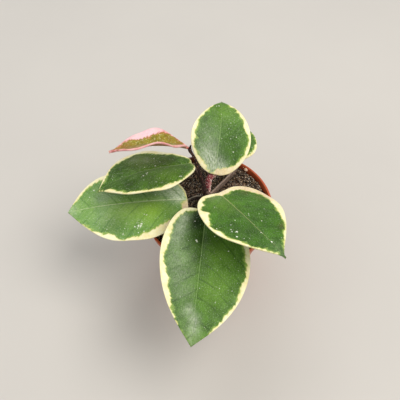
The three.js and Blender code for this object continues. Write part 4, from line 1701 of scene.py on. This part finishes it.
LEAVES = (
    Leaf(
        name="leaf_left_low",
        node=NODE_LOW,
        petiole=((-6, 0.6, 69.6),),
        petiole_radius=1,
        base=(-11.3, -0.7, 69),
        length=63.5,
        width=44,
        midrib=Midrib(183, 6.5, 3, 10.5, 1.2),
        outline=Outline(0.56, 0.56, 0.77, 1.6, 0.09, -0.105),
        section=Section(0, 6, -6),
        waves=Waves(0.6, 2.5, 0.4),
        left_edge=((0, 1), (0.05, 3), (0.14, 4.2), (0.27, 5), (0.3, 4.6), (0.37, 3.5), (0.41, 3.4),
                   (0.44, 2.4), (0.48, 1.8), (0.51, 1.7), (0.55, 1.1), (0.58, 0.3), (0.62, 1), (0.65, 2.7),
                   (0.69, 3), (0.72, 2), (0.76, 1.2), (0.83, 0.7), (0.9, 0.1), (1, -1)),
        right_edge=((0, 0.5), (0.06, 1), (0.4, 1.4), (0.69, 1.9), (0.76, 1.9), (0.79, 1.3), (0.86, 1.4),
                    (0.93, 0.9), (1, -1)),
        patches={
            Tint.BRIGHT: ((0.32, 0.27, 8, 0.9), (0.53, 0.2, 8, 0.6), (0.8, 0.1, 7, 0.15)),
            # Painted shade: darker green in a band where leaf_left_high's lower edge casts its shadow, and in broader
            # patches.
            Tint.SHADE: (
                (0.16, 0.5, 7, 0.3), (0.66, 0.65, 8, 0.4), (0.6, -0.5, 9, 0.25), (0.3, -0.1, 4, 0.2),
                (0.3, -0.34, 3.5, 0.3), (0.41, -0.36, 4, 0.4), (0.52, -0.4, 4, 0.4), (0.63, -0.45, 4, 0.35),
            ),
            Tint.BLUSH: ((0.06, 0.75, 8, 1), (0.16, 0.95, 5, 0.7)),
            # Painted sheen: whitish-grey patches, mostly on the right half near the base.
            Tint.BLOOM: (
                (0.06, -0.55, 5, 1), (0.08, -0.15, 4, 0.8), (0.18, -0.41, 5, 0.65), (0.33, -0.3, 6, 0.2),
                (0.96, 0.1, 7, 0.1), (0.5, 0.2, 8, 0.15), (0.7, -0.25, 5, 0.25), (0.72, 0.35, 6, 0.15),
                (0.99, 0, 4, 0.3),
            ),
            Tint.FLECK: (
                (0.42, 0.57, 1.9, 1), (0.44, 0.66, 1.6, 1), (0.46, 0.76, 1.5, 1), (0.57, 0.82, 1.4, 1),
                (0.41, 0.8, 0.9, 1), (0.46, 0.86, 0.9, 1), (0.75, -0.63, 0.9, 1), (0.36, 0.4, 0.9, 0.8),
                (0.62, -0.3, 0.9, 0.7), (0.2, 0.3, 0.9, 0.7),
            ),
        },
        skin=PAINTED_LIGHT_SKIN,
        stalk_skin=GREY_STALK,
        seed=1,
    ),
    Leaf(
        name="leaf_back_right",
        node=NODE_LOW,
        petiole=((5.8, 9.2, 66.6), (12.6, 17, 67)),
        petiole_radius=1.25,
        base=(17.1, 25.7, 68),
        length=41.5,
        width=29,
        midrib=Midrib(108, -4, 3.5, 30.5, 1),
        outline=Outline(0.37, 0.82, 0.65, 0.3, 0.0, -0.02),
        section=Section(0, 6, -6),
        waves=Waves(0.5, 2, 1.1),
        left_edge=((0, 1), (0.2, 1.8), (0.5, 1.6), (0.8, 1), (1, -1)),
        right_edge=((0, 0.6), (0.08, 1.3), (0.16, 1.2), (0.22, 0.4), (0.32, 0), (0.85, 0.1), (1, -1)),
        stalk_skin=DUSTY_STALK,
        seed=2,
    ),
    Leaf(
        name="leaf_front",
        node=NODE_MIDDLE,
        petiole=((-1.2, -6.7, 75.5),),
        petiole_radius=1.6,
        base=(-1.5, -12.9, 77),
        length=69,
        width=44,
        midrib=Midrib(-96, 0, 0, 10.3, 1.3),
        outline=Outline(0.455, 0.72, 0.6, 1.9, 0.095, 0.105),
        section=Section(-4, 8, -6),
        waves=Waves(0.5, 2, 0),
        left_edge=((0, 1.5), (0.2, 2.2), (0.3, 2.4), (0.37, 1.9), (0.44, 1.5), (0.51, 2.4), (0.58, 1.5),
                   (0.62, 1.9), (0.66, 1), (0.76, 1.5), (0.83, 0.6), (0.86, 1.1), (0.9, 0), (1, -1)),
        right_edge=((0, 1), (0.06, 2.2), (0.2, 2.3), (0.23, 2.9), (0.27, 2.7), (0.3, 4), (0.37, 3.2),
                    (0.44, 2.2), (0.48, 2.1), (0.51, 3), (0.55, 2.5), (0.58, 3.9), (0.62, 2.9), (0.65, 2.3),
                    (0.69, 2.7), (0.76, 1.8), (0.79, 0.5), (0.83, 0.7), (0.88, 0), (1, -1)),
        patches={
            Tint.BRIGHT: ((0.3, 0.4, 10, 0.3), (0.6, 0.35, 9, 0.35), (0.97, 0, 6, 0.3), (0.035, -0.8, 2.6, 1)),
            # Painted shade: darker green at the base and along the midrib, where leaf_right casts its shadow.
            Tint.SHADE: (
                (0.03, -0.25, 5, 0.9), (0.13, -0.25, 4.5, 0.9), (0.25, -0.06, 5, 0.6), (0.22, 0.3, 6, 0.15),
                (0.42, -0.08, 5, 0.35),
            ),
            # Painted sheen: whitish-grey patches over the right half and along the midrib near the tip.
            Tint.BLOOM: (
                (0.12, -0.7, 3, 0.7), (0.2, -0.66, 3.6, 0.7), (0.29, -0.7, 4, 0.5), (0.42, -0.57, 6.5, 0.35),
                (0.56, -0.52, 6.5, 0.22), (0.68, -0.5, 5, 0.15), (0.82, 0.02, 2.7, 0.65), (0.76, -0.16, 2.2, 0.3),
                (0.78, -0.3, 2.4, 0.3), (0.89, 0.07, 2.6, 0.6), (0.97, 0, 4, 0.25),
            ),
            Tint.FLECK: (
                (0.27, -0.16, 0.9, 1), (0.4, -0.19, 0.9, 0.7), (0.37, 0.39, 0.9, 0.7), (0.58, 0.45, 0.9, 1),
                (0.69, -0.42, 0.9, 0.8), (0.3, 0.56, 0.9, 0.6),
            ),
        },
        skin=LeafCuticle(vein_share=0.55),
        vein_gap=9.5,
        seed=3,
    ),
    Leaf(
        name="leaf_back",
        node=NODE_MIDDLE,
        petiole=((-0.6, 1.8, 76.7), (0.4, 5.2, 80.6)),
        petiole_radius=1.7,
        base=(2.8, 5.4, 83.5),
        length=46.1,
        width=31.1,
        midrib=Midrib(77.5, 12.8, 36.5, 69.3, 1.8),
        outline=Outline(0.75, 1.085, 0.46, 1.4, -0.045, 0.06),
        section=Section(0, 8, -6),
        waves=Waves(0.4, 2, 2),
        left_edge=((0, 0.2), (0.06, 1.5), (0.1, 2.2), (0.16, 2.5), (0.23, 1.5), (0.28, 1.1), (0.34, 1.5),
                   (0.37, 2.5), (0.44, 1.9), (0.51, 1.8), (0.58, 1.1), (0.65, 1.2), (0.7, 1.5), (0.77, 0.8),
                   (0.83, 1), (0.88, 0), (1, -1)),
        right_edge=((0, 1.5), (0.06, 3.4), (0.1, 3.3), (0.16, 2.3), (0.22, 1.6), (0.34, 1.8), (0.41, 1),
                    (0.48, 1.4), (0.53, 2.8), (0.58, 2.9), (0.62, 1.7), (0.69, 1.3), (0.76, 1), (0.8, 0.2),
                    (0.85, 1.2), (0.9, 0), (1, -1)),
        patches={
            Tint.BRIGHT: ((0.75, -0.2, 8, 0.35),),
            # Painted shade: a faint darker patch on the right half.
            Tint.SHADE: ((0.3, -0.35, 7, 0.2),),
            Tint.BLUSH: ((0.03, -0.3, 6, 0.6), (0.1, -0.9, 5, 0.3)),
            # Painted sheen: whitish-grey patches over the base and the left half.
            Tint.BLOOM: (
                (0.05, 0.2, 6, 1), (0.06, -0.4, 4, 0.9), (0.17, 0.41, 5, 0.6), (0.25, 0.5, 5, 0.5),
                (0.45, 0.45, 7, 0.2),
            ),
            Tint.FLECK: (
                (0.48, -0.42, 0.9, 0.8), (0.47, -0.64, 0.9, 0.8), (0.44, -0.18, 0.9, 0.7), (0.85, 0.37, 0.9, 1),
                (0.72, 0.07, 0.9, 0.8), (0.36, -0.74, 0.9, 0.7), (0.28, -0.53, 0.9, 0.7),
            ),
        },
        stalk_skin=ROSY_STALK,
        seed=4,
    ),
    Leaf(
        name="leaf_left_high",
        node=NODE_HIGH,
        petiole=((-4.6, 4.6, 82.5),),
        petiole_radius=1.1,
        base=(-8.9, 10.4, 86),
        length=51,
        width=38,
        midrib=Midrib(193, 12.5, 7, 35.5, 2.8),
        outline=Outline(0.8, 0.82, 0.9, 2.9, 0.07, -0.09),
        section=Section(20, 6, -6),
        waves=Waves(0.5, 2, 0.8),
        left_edge=((0, 0.3), (0.06, 0.7), (0.16, 1), (0.22, 0.6), (0.27, 1.2), (0.3, 2.3), (0.4, 2.2),
                   (0.48, 1.4), (0.55, 1), (0.69, 1), (0.76, 0.8), (0.83, 1.2), (0.87, 1.5), (0.92, 0.8),
                   (1, -0.5)),
        right_edge=((0, 0.3), (0.06, 1.2), (0.18, 1.4), (0.27, 3), (0.34, 2.8), (0.44, 2.3), (0.5, 2.1),
                    (0.55, 3), (0.6, 2.4), (0.69, 2), (0.72, 1.3), (0.86, 1.6), (0.95, 1), (1, -0.5)),
        patches={
            Tint.BRIGHT: ((0.4, -0.45, 8, 0.2), (0.3, 0.5, 8, 0.3)),
            # Painted shade: darker green patches.
            Tint.SHADE: ((0.68, 0.51, 3, 0.6), (0.3, 0.1, 7, 0.1)),
            Tint.OLIVE: ((0.47, -0.6, 8, 0.45), (0.25, -0.5, 6, 0.3)),
            # Painted sheen: two small whitish-grey patches.
            Tint.BLOOM: ((0.42, -0.45, 2.5, 0.25), (0.52, -0.62, 2.5, 0.25)),
            Tint.FLECK: (
                (0.54, 0.28, 1.3, 1), (0.49, 0.19, 1.2, 1), (0.41, 0.51, 0.9, 1), (0.22, 0.79, 0.9, 1),
                (0.81, -0.18, 0.9, 0.8), (0.8, -0.38, 0.9, 0.8), (0.68, -0.57, 0.9, 0.8), (0.36, 0.4, 0.9, 0.7),
            ),
        },
        skin=SHADED_SKIN,
        seed=5,
    ),
    Leaf(
        name="leaf_right",
        node=NODE_HIGH,
        petiole=((1.5, -5.9, 80),),
        petiole_radius=1.2,
        base=(4.9, -6.6, 84),
        length=54.3,
        width=43,
        midrib=Midrib(-58.5, 2, 20, 14, 2.2),
        outline=Outline(0.58, 0.94, 0.9, 3.1, 0.0, -0.11),
        section=Section(-17, 5, -4),
        waves=Waves(0.4, 2, 1.6),
        left_edge=((0, 2), (0.06, 3.6), (0.16, 4.2), (0.2, 4), (0.23, 3.4), (0.28, 2.5), (0.34, 2.1),
                   (0.4, 3.2), (0.51, 3.4), (0.58, 2.8), (0.65, 1.9), (0.69, 1), (0.73, 0.4), (0.79, 1.3),
                   (0.86, 0.8), (0.92, 0.1), (1, -1)),
        right_edge=((0, 1.5), (0.03, 3), (0.09, 2.5), (0.13, 1.9), (0.16, 3), (0.2, 1.7), (0.24, 2.2),
                    (0.27, 4.9), (0.32, 3.6), (0.37, 2.5), (0.41, 1.2), (0.46, 0.7), (0.51, 2), (0.56, 1.7),
                    (0.62, 0.7), (0.68, 1.3), (0.77, 0.6), (0.9, 0.4), (1, -1)),
        patches={
            Tint.BRIGHT: ((0.2, -0.3, 8, 0.3),),
            # Painted shade: a faint darker patch.
            Tint.SHADE: ((0.55, -0.1, 9, 0.2),),
            Tint.OLIVE: (
                (0.16, 0.68, 3, 0.5), (0.28, 0.78, 3, 0.5), (0.08, -0.6, 2.5, 0.5), (0.5, -0.97, 2.5, 0.6),
                (0.73, 0.88, 2.5, 0.7),
            ),
            Tint.BLUSH: ((0.02, 0.3, 5, 0.6), (0.13, 0.85, 5, 0.8), (0.28, 0.92, 6, 0.9)),
            # Painted sheen: faint whitish-grey patches at the base and near the tip.
            Tint.BLOOM: ((0.06, -0.5, 5, 0.2), (0.92, 0.1, 5, 0.15)),
            Tint.FLECK: (
                (0.56, -0.7, 0.9, 1), (0.58, -0.6, 0.9, 1), (0.52, -0.62, 0.9, 0.8), (0.44, -0.31, 0.9, 1),
                (0.29, 0.43, 0.9, 0.8), (0.22, -0.53, 0.9, 0.8), (0.38, -0.17, 0.9, 0.7), (0.62, -0.77, 0.9, 1),
                (0.68, -0.05, 0.9, 1), (0.76, -0.03, 0.9, 0.8), (0.81, -0.03, 0.9, 0.7),
            ),
        },
        skin=SHADE_DARKENED_SKIN,
        seed=6,
    ),
    Leaf(
        name="leaf_young",
        node=NODE_TIP,
        petiole=((-10.3, 14.6, 93.5),),
        petiole_radius=0.8,
        base=(-11.1, 15.4, 94.1),
        length=41.2,
        width=25.9,
        midrib=Midrib(197, -0.2, 34.3, 40.7, 0.97),
        outline=Outline(1.18, 1.37, 0.46, 0.3, 0.15, 0.157),
        section=Section(24.9, 20, 1),
        waves=Waves(1.3, 1.8, 2.05),
        left_edge=((0, 1.2), (0.3, 1.9), (0.55, 1.8), (0.75, 1.2), (1, 0.3)),
        right_edge=((0, 0.8), (0.12, 0.8), (0.2, 0.9), (0.28, 1.5), (0.36, 2.7), (0.42, 4.2), (0.5, 5.4),
                    (0.6, 5), (0.67, 3.6), (0.73, 2.2), (0.8, 1), (0.9, 0.4), (1, 0)),
        patches={
            Tint.OLIVE: (
                (0.12, 0, 6, 0.6), (0.31, -0.3, 4, 0.25), (0.5, -0.05, 4, 0.15), (0.74, 0.3, 5, 0.5),
                (0.89, 0.1, 6, 0.6),
            ),
            Tint.BLUSH: ((0.57, -0.7, 7, 0.65), (0.42, -0.75, 5, 0.5), (0.72, -0.6, 5, 0.4)),
        },
        skin=YOUNG_SKIN,
        stalk_skin=PINK_STALK,
        slot="young_leaf",
        vein_gap=5.0,
        seed=7,
    ),
)


def main() -> None:
    """Builds the studio and the plant, in order."""
    logging.basicConfig(level=logging.INFO, format="%(message)s")
    Studio().build()
    pot = Pot()
    pot.build()
    RootBall(pot).build()
    STEM.build()
    for leaf in LEAVES:
        leaf.build()


if __name__ == "__main__":
    main()
